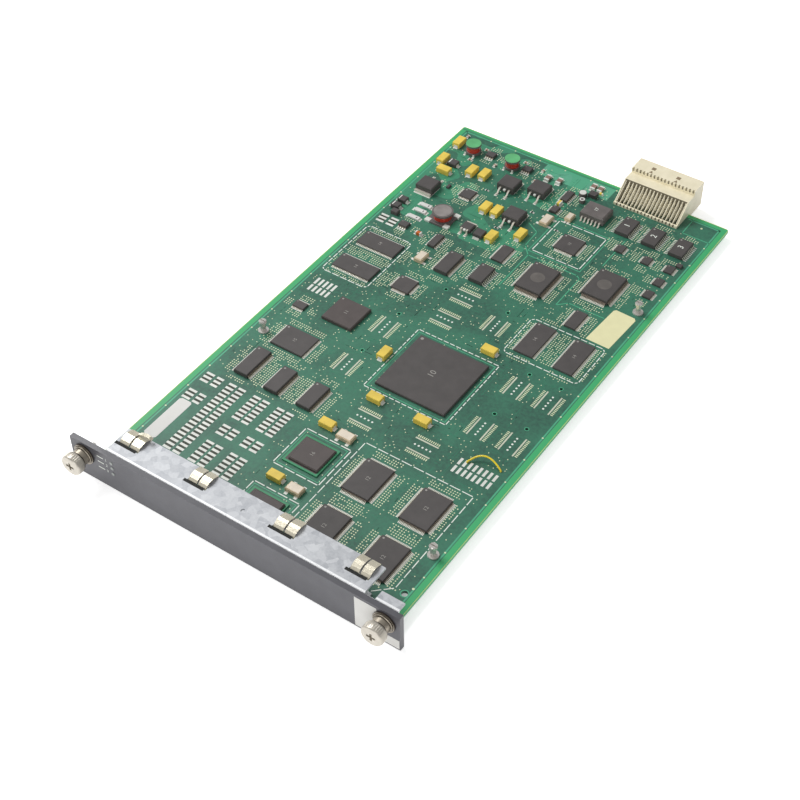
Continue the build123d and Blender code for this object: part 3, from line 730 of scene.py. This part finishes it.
# Light rings round the board's holes, and four gold targets
for hx, hy in ((65.0, 182.7), (98.7, 185.0), (56.2, 155.7), (56.2, 125.6), (128.8, 155.2),
               (145.4, 155.2), (128.8, 125.3), (145.5, 125.3)):
    pale.ring(hx, hy, 0.85, 1.15, 0.0, 0.02)
pale.ring(152.2, 20.8, 1.5, 2.0)
for gx, gy in ((84.0, 67.0), (84.5, 31.0), (153.8, 24.7), (146.0, 292.3)):
    golds.disc(gx, gy, 0.6, 0.0, 0.05)

# Blank labels and wide light bus lines
LABEL_THICK = 0.08
label = Piece("blank_white_label", label_m, "ivory")
label.prism([(6.5, 30.0), (7.5, 29.0), (12.5, 29.0), (13.3, 30.0), (13.3, 54.0), (12.5, 55.0),
             (7.5, 55.0), (6.5, 54.0)], 0.0, LABEL_THICK)
label.done()
label = Piece("blank_cream_label", cream_m, "cream")
label.prism([(137.9, 190.2), (150.3, 190.0), (151.4, 213.6), (150.4, 214.9), (140.4, 215.3),
             (139.4, 214.3)], 0.0, LABEL_THICK)
label.done()
BUS_LINES = (((72, 248), (79, 244), (79.5, 232), (84.5, 226.5), (84.5, 200)),
             ((84.5, 226.5), (112, 226.5), (114.5, 225), (114.5, 203)), ((119, 262), (119, 240)),
             ((115, 203), (119, 207), (138, 207)), ((139.5, 297), (139.5, 284), (154, 284)))
for path in BUS_LINES:
    pale.line(path, 0.5)

# Substrates of the two logic arrays
arrays = Piece("array_substrates", substrate_m, "board_green")
for cy in (59.3, 22.9):
    arrays.frame(67.75, 85.45, cy - 8.35, cy + 8.35, 1.0, 0.72)
arrays.done()

# Panel: white sticker, plain numbers and dashes
sticker = Piece("blank_sticker", label_m, "ivory")
outline = [(142.8, -4.2), (164.1, -4.2), (164.1, 1.0), (155.5, 1.0), (153.4, 3.0), (153.4, 14.0),
           (142.8, 14.0)]
count = len(outline)
face_points = [(x, -0.06, z) for x, z in outline] + [(x, 0.0, z) for x, z in outline]
sticker.add(face_points, [tuple(range(count)), tuple(range(count, 2 * count))[::-1]]
            + [(i, count + i, count + (i + 1) % count, (i + 1) % count) for i in range(count)])
sticker.done()
LENS_HEIGHTS = (12.2, 9.0, 5.5)
for text, z in zip("123", LENS_HEIGHTS):
    number(text, 13.4, -0.03, z, 2.2, silk_m, 0.0, True)
dashes = Piece("panel_dashes", silk_m, "ivory")
for z in LENS_HEIGHTS:
    dashes.add([(x, y, z + up) for x in (8.3, 11.8) for y in (-0.03, 0.0) for up in (-0.25, 0.25)],
               [(0, 1, 3, 2), (4, 6, 7, 5), (0, 4, 5, 1), (2, 3, 7, 6), (0, 2, 6, 4), (1, 5, 7, 3)])
dashes.done()


def tiny(x, y, length, width, high, along_x, body):
    # A small part: its body between two bright ends, along x or along y.
    end = length * 0.2
    for side in (-1, 1):
        dx = side * (length - end) / 2 if along_x else 0.0
        dy = 0.0 if along_x else side * (length - end) / 2
        caps.pad(x + dx, y + dy, end if along_x else width, width if along_x else end, 0.0, high)
        pads.pad(x + dx * 1.3, y + dy * 1.3, end * 2.4 if along_x else width + 0.3,
                 width + 0.3 if along_x else end * 2.4)
    inner = length - 2 * end
    slim = width * 0.96
    body.pad(x, y, inner if along_x else slim, slim if along_x else inner, 0.0, high * 0.96)


for x, y in ((7.0, 291.9), (32.5, 278.4), (56.6, 278.5), (56.0, 288.4)):
    tiny(x, y, 2.0, 1.25, 0.8, False, bodies)
for x, y in ((22.0, 287.5), (45.0, 289.5), (19.0, 275.5)):
    tiny(x, y, 2.0, 1.25, 0.8, True, bodies)
for x, y in ((13.5, 250.5), (40.3, 258.5), (86.5, 250.3), (60.3, 235.5), (69.0, 256.0)):
    tiny(x, y, 1.6, 0.8, 0.5, True, blacks)
orange = Piece("orange_part", orange_m, "tantalum")
tiny(30.8, 209.5, 3.2, 1.9, 1.6, True, orange)
orange.done()
yellow = Piece("small_yellow_part", MATS["tantalum"], "tantalum")
tiny(77.0, 269.4, 2.2, 3.2, 1.8, True, yellow)
tiny(90.6, 288.2, 2.2, 1.2, 1.0, True, yellow)
yellow.done()

# End tabs and pads of the moulded blocks
BLOCKS_ALONG_Y = ((6.6, 284.1), (7.4, 267.2), (25.7, 266.7), (32.9, 267.7), (48.0, 244.9),
                  (54.4, 245.4), (74.0, 236.4), (62.8, 227.0), (66.8, 128.6))
BLOCKS_ALONG_X = ((13.1, 259.3), (105.9, 157.2), (80.0, 102.7), (105.4, 102.7), (71.8, 77.8),
                  (71.8, 40.6))
TAB_AWAY = 3.72
for places, along_x in ((BLOCKS_ALONG_Y, False), (BLOCKS_ALONG_X, True)):
    w, d = (0.18, 2.4) if along_x else (2.4, 0.18)
    more_w, more_d = (1.3, 0.2) if along_x else (0.2, 1.3)
    for x, y in places:
        for side in (-1, 1):
            dx, dy = (side * TAB_AWAY, 0.0) if along_x else (0.0, side * TAB_AWAY)
            caps.pad(x + dx, y + dy, w, d, 0.1, 1.5)
            pads.pad(x + dx * 1.06, y + dy * 1.06, w + more_w, d + more_d, 0.0, 0.08)

# Power diodes' tabs and bands, ceramic blocks' ends, the finned tab and the chips' lines
for x, y, w, d in ((9.2, 227.2, 4.6, 3.9), (9.0, 221.4, 4.6, 3.9), (13.8, 267.0, 5.2, 4.4)):
    for side in (-1, 1):
        pads.pad(x + side * (w / 2 + 0.7), y, 1.5, 2.4, 0.0, 0.1)
        caps.box(x + side * w / 2 - 0.12, x + side * w / 2 + 0.12, y - 1.1, y + 1.1, 0.1, 1.2)
    silk.box(x - w * 0.36, x - w * 0.26, y - d * 0.4, y + d * 0.4, 2.3, 2.31)
for x, y in ((61.4, 284.3), (67.7, 285.2), (84.9, 291.0), (88.9, 291.0)):
    for side in (-1, 1):
        caps.pad(x, y + side * 1.75, 2.7, 1.0, 0.0, 1.34)
        pads.pad(x, y + side * 2.3, 2.8, 1.5)
for k in range(3):
    caps.box(54.7, 58.3, 222.5 - 0.45 * k, 222.7 - 0.45 * k, 0.0, 0.3 + 0.25 * (2 - k))
for x, y in ((26.4, 284.6), (48.8, 284.6), (20.9, 211.3)):
    silk.box(x - 2.4, x + 2.4, y - 4.0, y - 3.6)

# Crystals: four bright legs each, and the lid's face inside its weld line. Each row says
# at the end whether the legs leave at the left and right.
LID = 2.2
WELD = 0.55
lids = Piece("crystal_lids", lid_m, "cream")
CRYSTALS = ((42.4, 194.8, 4.5, 7.0, True), (78.8, 253.5, 4.5, 8.0, True),
            (87.4, 262.1, 3.5, 5.5, False), (82.8, 76.4, 8.0, 5.0, False),
            (83.0, 39.5, 7.5, 5.0, False))
for x, y, w, d, side_x in CRYSTALS:
    for u in (-1, 1):
        for v in (-1, 1):
            if side_x:
                pads.pad(x + u * (w / 2 + 0.8), y + v * (d / 2 - 1.0), 2.2, 1.4, 0.0, 0.12)
            else:
                pads.pad(x + u * (w / 2 - 1.2), y + v * (d / 2 + 0.6), 1.6, 1.8, 0.0, 0.12)
    lids.box(x - w / 2 + WELD, x + w / 2 - WELD, y - d / 2 + WELD, y + d / 2 - WELD,
             LID, LID + 0.04)
lids.done()

# Power parts: middle stub, pads under leads and the tab, and the moulding round it
SKIRT_HIGH = 1.34
skirts = Piece("mould_skirts", MATS["chip_black"], "chip_black")
POWER_PARTS = ((48.6, 267.0, 9.8, 8.9, -1), (63.7, 272.0, 9.8, 8.9, -1),
               (64.2, 246.5, 9.8, 8.9, -1), (14.2, 242.9, 9.8, 8.9, 1),
               (49.0, 226.8, 6.2, 5.6, -1))
for x, y, wide, deep, face in POWER_PARTS:
    reach = 4.9 if wide > 8 else 2.8
    caps.pad(x, y + face * (deep / 2 + 0.6), 1.2, 1.2, 1.4, 2.2)
    for dx in (-0.27 * wide, 0.27 * wide):
        pads.pad(x + dx, y + face * (deep / 2 + reach - 0.6), 1.6, 2.4, 0.0, 0.06)
    pads.pad(x, y - face * 1.5, wide + 0.1, deep + 1.2, 0.0, 0.05)
    for side in (-1, 1):
        skirts.pad(x + side * (wide / 2 - 0.2), y, 0.1, deep, 0.0, SKIRT_HIGH)
    skirts.pad(x, y + face * deep / 2, wide - 0.3, 0.1, 0.0, SKIRT_HIGH)
skirts.done()

# Coil tops: green caps on the two small ones, a grey disc and square base tabs on the big one
tops = Piece("coil_caps", green_m, "ferrite")
grey = Piece("coil_disc", disc_m, "ferrite")
for x, y in ((16.5, 282.5), (40.5, 282.7)):
    tops.disc(x, y, 4.05, 5.6, 5.75, 32)
    for side in (-1, 1):
        pads.pad(x + side * 2.6, y - 4.6, 1.2, 1.6, 0.0, 0.1)
        caps.pad(x + side * 2.6, y - 4.2, 0.9, 0.5, 0.1, 1.3)
for side in (-1, 1):
    for turn in (-1, 1):
        caps.pad(34.0 + side * 5.5, 226.5 + turn * 5.1, 3.0, 2.6, 0.0, 1.02)
grey.disc(34.0, 226.5, 4.6, 5.2, 5.3, 32)
tops.done()
grey.done()
rounds = Piece("round_tops", pad_m, "lead_metal")
rounds.disc(83.4, 282.2, 1.8, 2.2, 2.3, 24)
rounds.ring(85.6, 277.6, 0.8, 1.4, 1.8, 1.9, 24)
rounds.done()

# Shunts: brown end on the right; bars beside them
for y in (230.2, 225.2, 219.2):
    pads.pad(17.6, y, 1.4, 2.6)
    pads.pad(25.0, y, 1.4, 2.6)
    blacks.pad(23.0, y, 0.5, 1.2, 0.8, 0.82)

# Marks on the chips: a dimple at one corner, plain numbers, a round mark. TOP_OF gives the
# top of a body from the height where its leads leave it.
marks = Piece("corner_marks", printed_m, "chip_black")
TOP_OF = {0.55: 1.1, 0.6: 1.2, 0.75: 1.5, 1.35: 2.7, 1.2: 2.25, 0.8: 1.6, 1.1: 2.35}
for cx, cy, w, d, *_, high in CHIPS:
    top = TOP_OF[high]
    r = 0.28 if min(w, d) < 7 else 0.5
    marks.disc(cx - w / 2 + 2.2 * r + 0.3, cy + d / 2 - 2.2 * r - 0.3, r, top, top + 0.01, 14)
marks.disc(92.6 - 16.8, 129.5 + 16.8, 0.8, 1.5, 1.51, 16)
marks.disc(36.1 - 6.9, 140.9 + 6.9, 0.5, 1.9, 1.91, 14)
marks.done()
faint = Piece("round_mould_marks", faint_m, "chip_black")
for x, y in ((98.6, 212.0), (127.8, 225.5)):
    faint.disc(x, y, 3.6, 2.7, 2.71, 32)
faint.done()
GREY_MARKS = (("10", 92.6, 129.5, 1.5, 4.5), ("11", 36.1, 140.9, 1.9, 2.6),
              ("12", 105.3, 61.4, 1.5, 2.6), ("12", 135.1, 61.4, 1.5, 2.6),
              ("12", 105.3, 30.0, 1.5, 2.6), ("12", 135.1, 30.0, 1.5, 2.6),
              ("13", 97.9, 243.9, 1.2, 2.2), ("14", 119.3, 175.6, 1.1, 2.4),
              ("14", 140.2, 175.6, 1.1, 2.4), ("14", 19.8, 191.8, 1.1, 2.4),
              ("14", 19.8, 171.2, 1.1, 2.4), ("15", 27.0, 112.6, 1.1, 2.4),
              ("16", 77.4, 59.3, 1.9, 2.6), ("16", 77.4, 22.9, 1.9, 2.6))
WHITE_MARKS = (("17", 97.5, 271.2, 4.6, 2.6), ("1", 115.2, 271.2, 2.35, 4.4),
               ("2", 130.2, 271.2, 2.35, 4.4), ("3", 145.2, 271.2, 2.35, 4.4))
for table, ink in ((GREY_MARKS, printed_m), (WHITE_MARKS, silk_m)):
    for text, x, y, z, size in table:
        number(text, x, y, z + 0.01, size, ink, 90.0)

# Connector: row marks on its top. Under the board: the ends of its pins, of the jumper
# wire and of the posts.
HOUSING_TOP = 12.0
MARK_TOP = HOUSING_TOP + 0.02
COLUMNS = 18
ROWS = 5
BOARD_UNDER = -1.6
SOLDER_END = -1.66
PIN_END = -2.3
notes = Piece("row_marks", brown_m, "ivory")
for x in (109.6, 123.6):
    notes.box(x - 1.1, x + 1.1, 306.7, 308.9, HOUSING_TOP, MARK_TOP)
    notes.prism([(x - 1.1, 303.9), (x + 1.1, 303.9), (x, 305.9)], HOUSING_TOP, MARK_TOP)
notes.done()
under = Piece("solder_points", pad_m, "lead_metal")
for k in range(COLUMNS):
    for row in range(ROWS):
        x = 99.6 + 2.0 * (k + 0.5)
        y = 286.75 + 1.7 * row
        under.disc(x, y, 0.55, SOLDER_END, BOARD_UNDER, 10)
        under.disc(x, y, 0.28, PIN_END, SOLDER_END, 8)
WIRE = [(134.5, 94.0, 0.0), (134.7, 94.4, 0.7), (136.9, 97.5, 1.9), (139.4, 99.1, 2.6),
        (142.3, 99.5, 2.7), (145.3, 98.9, 2.4), (147.8, 98.1, 1.6), (149.2, 97.7, 0.6),
        (149.3, 97.6, 0.0)]
for x, y, z in (WIRE[0], WIRE[-1]):
    under.disc(x, y, 0.7, -1.9, BOARD_UNDER, 10)
for x, y in ((10.1, 110.5), (149.5, 219.5), (150.8, 43.5)):
    under.disc(x, y, 1.6, -2.0, BOARD_UNDER, 16)
under.done()


def smooth_path(points, steps):
    # A smooth curve through the points, with so many steps between two of them.
    ends = [Vector(points[0])] + [Vector(p) for p in points] + [Vector(points[-1])]
    out = []
    for a, b, c, d in zip(ends, ends[1:], ends[2:], ends[3:]):
        for i in range(steps):
            u = i / steps
            out.append(0.5 * (2 * b + (c - a) * u + (2 * a - 5 * b + 4 * c - d) * u * u
                              + (3 * b - a - 3 * c + d) * u ** 3))
    return out + [ends[-1]]


# Jumper wire: one smooth arch in place of the model's angular one
wire = Piece("yellow_jumper_wire", MATS["wire_yellow"], "wire_yellow")
wire.tube(smooth_path(WIRE, 6), 0.42, 12)
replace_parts(wire.done(True), "jumper_wire")

# A thin dark sheet of painted shade on the flange, as the front part of each slot before the clip's
# fingers
slot_shades = Piece("slot_shade_sheets", slot_m, "galvanised")
flange_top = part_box("mounting_bracket")[1][2] * 1000 - LIFT
for k, wide in enumerate((10.5, 9.6, 10.8, 9.3), 1):
    c0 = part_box("spring_clip_%d" % k)[0][0] * 1000 + MID_X
    slot_shades.box(c0 - 1.7, c0 + wide - 0.6, 7.8, 9.3, flange_top, flange_top + 0.02)
slot_shades.done()

# Test dots and short traces on the grid: dense beside rows of leads, sparse between, and
# none on SOLID places, such as bodies, pads, labels and printed frames
DENSE = 0.86
SPARSE = 0.09
TRACE_ODDS = 0.13
CLEARANCE = 0.5
BUSY = [(c[0], c[1], c[2] / 2, c[3] / 2, c[7]) for c in CHIPS]
SOLID = [(b[0] - b[2], b[0] + b[2], b[1] - b[3], b[1] + b[3]) for b in BUSY]
SOLID += [(73.8, 111.4, 110.7, 148.3), (27.6, 44.6, 132.4, 149.4), (67.3, 85.9, 50.5, 68.1),
          (67.3, 85.9, 14, 31.7), (5.5, 56.5, 18, 76), (5, 14, 28, 56), (137.5, 152, 189, 216),
          (8.5, 21.5, 144.5, 156), (130.5, 150.5, 85, 96), (5.5, 17, 206, 214), (0, 5.4, 0, 300),
          (152.8, 158, 0, 300), (0, 158, 294.2, 300), (96, 140, 284, 300), (69, 83.5, 158.5, 189),
          (75.5, 90, 84.5, 96.7), (106.5, 121, 84.2, 96.5), (92.2, 104.8, 167, 180.5),
          (49.5, 62.2, 107, 121), (49.5, 62.2, 137, 151.5), (122.2, 134.8, 107, 151.5),
          (138.6, 151.5, 107, 151.5), (90, 105, 263, 279), (137, 152.8, 284, 298), (0, 158, 0, 17)]
for x0, x1, y0, y1 in FRAMES:
    for x in (x0, x1):
        SOLID.append((x - 0.3, x + 0.3, y0, y1))
    for y in (y0, y1):
        SOLID.append((x0, x1, y - 0.3, y + 0.3))


def taken(x, y):
    # Whether a place is in or too near one of the SOLID areas.
    return any(a - CLEARANCE < x < b + CLEARANCE and c - CLEARANCE < y < d + CLEARANCE
               for a, b, c, d in SOLID)


def density(x, y):
    # The chance of a dot, from the distance to the nearest row of leads.
    best = SPARSE
    for cx, cy, hw, hd, reach in BUSY:
        dx = abs(x - cx) - hw
        dy = abs(y - cy) - hd
        away = max(dx, dy)
        if away < reach + 0.7:
            if away > 0 and min(dx, dy) < 0:
                return 0.0
        elif away < reach + 4.8 and min(dx, dy) < 0.6:
            best = DENSE
    return best


FIELD_X = 5.9
FIELD_Y = 17.6
FIELD_WIDTH = 147
FIELD_DEPTH = 276
DOT_R = 0.36
VIA_R = 0.29
dots = Piece("test_dots", gold_m, "contact_metal")
links = Piece("fine_traces", trace_m, "board_green")
for i in range(int(FIELD_WIDTH / GRID)):
    for j in range(int(FIELD_DEPTH / GRID)):
        x = FIELD_X + GRID * i
        y = FIELD_Y + GRID * j
        if taken(x, y):
            continue
        chance = density(x, y)
        if rng.random() < chance:
            dots.disc(x, y, DOT_R if chance == DENSE else VIA_R, 0.0, 0.025, 6)
        if rng.random() < TRACE_ODDS:
            length = rng.choice((GRID, 2 * GRID, 3 * GRID, 6 * GRID))
            ux, uy = rng.choice(((1, 0), (0, 1), (0, 1), (0, 1), (1, 0), (0.707, 0.707)))
            ex, ey = x + ux * length, y + uy * length
            if not taken(ex, ey) and not taken((x + ex) / 2, (y + ey) / 2):
                links.line([(x, y), (ex, ey)], 0.18, 0.0, 0.012)
dots.done()
links.done()

# Retainers and thumbscrews: turned pieces, the knob knurled and cross-recessed.
# The outlines are (radius, y) points, y from the panel's front face.
SCREWS = (("left", 0.75), ("right", 157.15))
SCREW_HEIGHT = 8.8
RIBS = 36
THREADS = 8
THREAD_PITCH = 0.32
CROSS_LONG = 4.2
CROSS_WIDE = 1.15
RETAINER = [(3.0, 0.98), (3.0, -4.2), (3.15, -4.36), (3.7, -4.36), (3.88, -4.15), (3.88, -1.5),
            (4.3, -1.5), (4.55, -1.25), (4.55, -0.8), (5.2, -0.8), (5.36, -0.6), (5.36, -0.02),
            (4.15, -0.02), (4.15, 3.5), (4.62, 3.52), (4.62, 3.86), (2.65, 3.86), (2.65, 2.5),
            (1.46, 2.5), (1.46, 0.98), (3.0, 0.98)]
SCREW = [(0.0, -9.18), (4.2, -9.18), (4.75, -9.0), (5.05, -8.6), (5.1, -8.5), (5.1, -5.3),
         (5.05, -5.2), (4.85, -4.8), (4.6, -4.72), (4.27, -4.72), (4.27, -7.78), (1.34, -7.78),
         (1.34, 2.8), (1.58, 2.82), (1.58, 3.3)]
for k in range(THREADS):
    SCREW += [(1.73, 3.36 + THREAD_PITCH * k), (1.5, 3.52 + THREAD_PITCH * k)]
SCREW += [(1.25, 6.38), (0.0, 6.38)]
for side, sx in SCREWS:
    sleeve = Piece(side + "_turned_retainer", shaded_plating.mat, "screw_metal")
    sleeve.lathe(RETAINER, sx, SCREW_HEIGHT)
    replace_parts(sleeve.done(True), side + "_retainer")
    knob = Piece(side + "_turned_screw", MATS["screw_metal"], "screw_metal", side + "_screw")
    knob.lathe(SCREW, sx, SCREW_HEIGHT, 72)
    turned = knob.done(True)
    ribs = Piece(side + "_knurl", MATS["screw_metal"], "screw_metal", side + "_screw")
    for i in range(RIBS):
        a = 2 * math.pi * i / RIBS
        ring = [(sx + r * math.cos(a + da), SCREW_HEIGHT + r * math.sin(a + da))
                for da, r in ((-0.05, 5.05), (0.0, 5.19), (0.05, 5.05))]
        ends = [(x, y, z) for y in (-8.35, -5.45) for x, z in ring]
        ribs.add(ends, [(0, 1, 4, 3), (1, 2, 5, 4), (2, 0, 3, 5), (0, 2, 1), (3, 4, 5)])
    ribs.done()
    cutter = Piece("cross_cutter", hole_m, "screw_metal", side + "_screw")
    for w, h in ((CROSS_LONG, CROSS_WIDE), (CROSS_WIDE, CROSS_LONG)):
        cutter.add([(sx + u * w / 2, y, SCREW_HEIGHT + v * h / 2) for y in (-9.6, -8.1)
                    for u, v in ((-1, -1), (1, -1), (1, 1), (-1, 1))],
                   [(0, 1, 2, 3), (7, 6, 5, 4), (0, 4, 5, 1), (1, 5, 6, 2), (2, 6, 7, 3),
                    (3, 7, 4, 0)])
    tool = cutter.done()
    for mesh in (turned.data, tool.data):
        shell = bmesh.new()
        shell.from_mesh(mesh)
        bmesh.ops.remove_doubles(shell, verts=shell.verts, dist=1e-6)
        bmesh.ops.recalc_face_normals(shell, faces=shell.faces)
        shell.to_mesh(mesh)
        shell.free()
    cut = turned.modifiers.new("cross recess", "BOOLEAN")
    cut.operation = "DIFFERENCE"
    cut.solver = "EXACT"
    cut.use_self = True
    cut.object = tool
    bpy.context.view_layer.update()
    graph = bpy.context.evaluated_depsgraph_get()
    carved = bpy.data.meshes.new_from_object(turned.evaluated_get(graph))
    turned.modifiers.clear()
    turned.data = carved
    carved.shade_smooth()
    carved.set_sharp_from_angle(angle=0.5)
    bpy.data.objects.remove(tool)
    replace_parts(turned, side + "_thumbscrew")

# Springs: real coils in place of the tubes of the model
TURNS = 7
TURN_STEPS = 22
COIL_R = 2.2
COIL_WIRE_R = 0.24
COIL_START = -7.55
COIL_LENGTH = 8.3
for side, sx in SCREWS:
    coil = Piece(side + "_coil", MATS["spring_steel"], "spring_steel")
    points = []
    for i in range(TURNS * TURN_STEPS + 1):
        a = 2 * math.pi * i / TURN_STEPS
        part = i / (TURNS * TURN_STEPS)
        points.append((sx + COIL_R * math.cos(a), COIL_START + COIL_LENGTH * part,
                       SCREW_HEIGHT + COIL_R * math.sin(a)))
    coil.tube(points, COIL_WIRE_R, 8)
    made = coil.done()
    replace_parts(made, side + "_spring")
    spot(sx, 1.0, 8.8)
    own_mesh(made)

# The pieces gathered above are made last
for piece in (gaps, bars, edge, pads, golds, silk, pale, fine, bodies, blacks, caps):
    piece.done()

# Floor: white to the eye and in reflections away from the object, with its shadow kept.
# The two numbers are outputs of the Light Path node.
CAMERA_RAY = 0
GLOSSY_RAY = 3
bpy.ops.mesh.primitive_plane_add(size=6.0, location=(0, 0, -0.0001))
floor = bpy.context.object
floor.name = "floor"
white = Shade("white floor", 0.9, 0.0, "ffffff")
seen = white.node("ShaderNodeLightPath", {}, ())
glow = seen[CAMERA_RAY].either(seen[GLOSSY_RAY])
wx, wy = white.axes()[:2]
# No glow right under the object, and a full one far from it
clear = white.ramp(wx.size(), 0.064, 0.076).either(white.ramp(wy.size(), 0.13, 0.15))
white.set("Emission Color", glow * clear * white.ramp(wx * wx + wy * wy, 0.12, 0.7, 0.55, 1.0))
white.set("Emission Strength", 1.0)
floor.data.materials.append(white.mat)


# Light: two soft lamps aimed at the middle, and a grey world that the camera sees as white
def lamp(name, where, size, watts):
    data = bpy.data.lights.new(name, "AREA")
    data.size = size
    data.energy = watts
    made = bpy.data.objects.new(name, data)
    scene.collection.objects.link(made)
    made.location = where
    made.rotation_euler = (-Vector(where)).to_track_quat("-Z", "Y").to_euler()


lamp("key", (-1.1, 0.15, 1.2), 0.9, 21.0)
lamp("front", (0.5, -1.4, 0.5), 1.0, 7.5)
ROOM_GREY = (0.36, 0.36, 0.36, 1.0)
PAPER_WHITE = (1.0, 1.0, 1.0, 1.0)
world = bpy.data.worlds.new("studio")
world.use_nodes = True
sky = world.node_tree.nodes["Background"]
studio = Nodes(world.node_tree)
rays = studio.node("ShaderNodeLightPath", {}, ())
tint = studio.blend(rays[CAMERA_RAY], ROOM_GREY, PAPER_WHITE)
studio.tree.links.new(tint.source, sky.inputs[0])
scene.world = world

# Camera: the photograph's angle, its place in board millimetres, and its focal length in
# pixels of a frame 800 wide
EYE = (368.93, -286.81, 494.99)
FRAME_PIXELS = 800
FOCAL_PIXELS = 1545.1
SENSOR = 36.0
azimuth = math.radians(35.27)
tilt = math.radians(45.61)
roll = math.radians(-0.85)
ahead = Vector((-math.sin(azimuth) * math.cos(tilt), math.cos(azimuth) * math.cos(tilt),
                -math.sin(tilt)))
across = Vector((math.cos(azimuth), math.sin(azimuth), 0.0))
upward = across.cross(ahead)
right = math.cos(roll) * across + math.sin(roll) * upward
top = -math.sin(roll) * across + math.cos(roll) * upward
camera = bpy.data.objects.new("camera", bpy.data.cameras.new("camera"))
scene.collection.objects.link(camera)
camera.data.sensor_width = SENSOR
camera.data.lens = FOCAL_PIXELS / FRAME_PIXELS * SENSOR
turn = Matrix((right, top, -ahead)).transposed().to_4x4()
camera.matrix_world = Matrix.Translation(spot(*EYE)) @ turn
camera.data.clip_start = 0.01
scene.camera = camera

scene.view_settings.view_transform = "Standard"
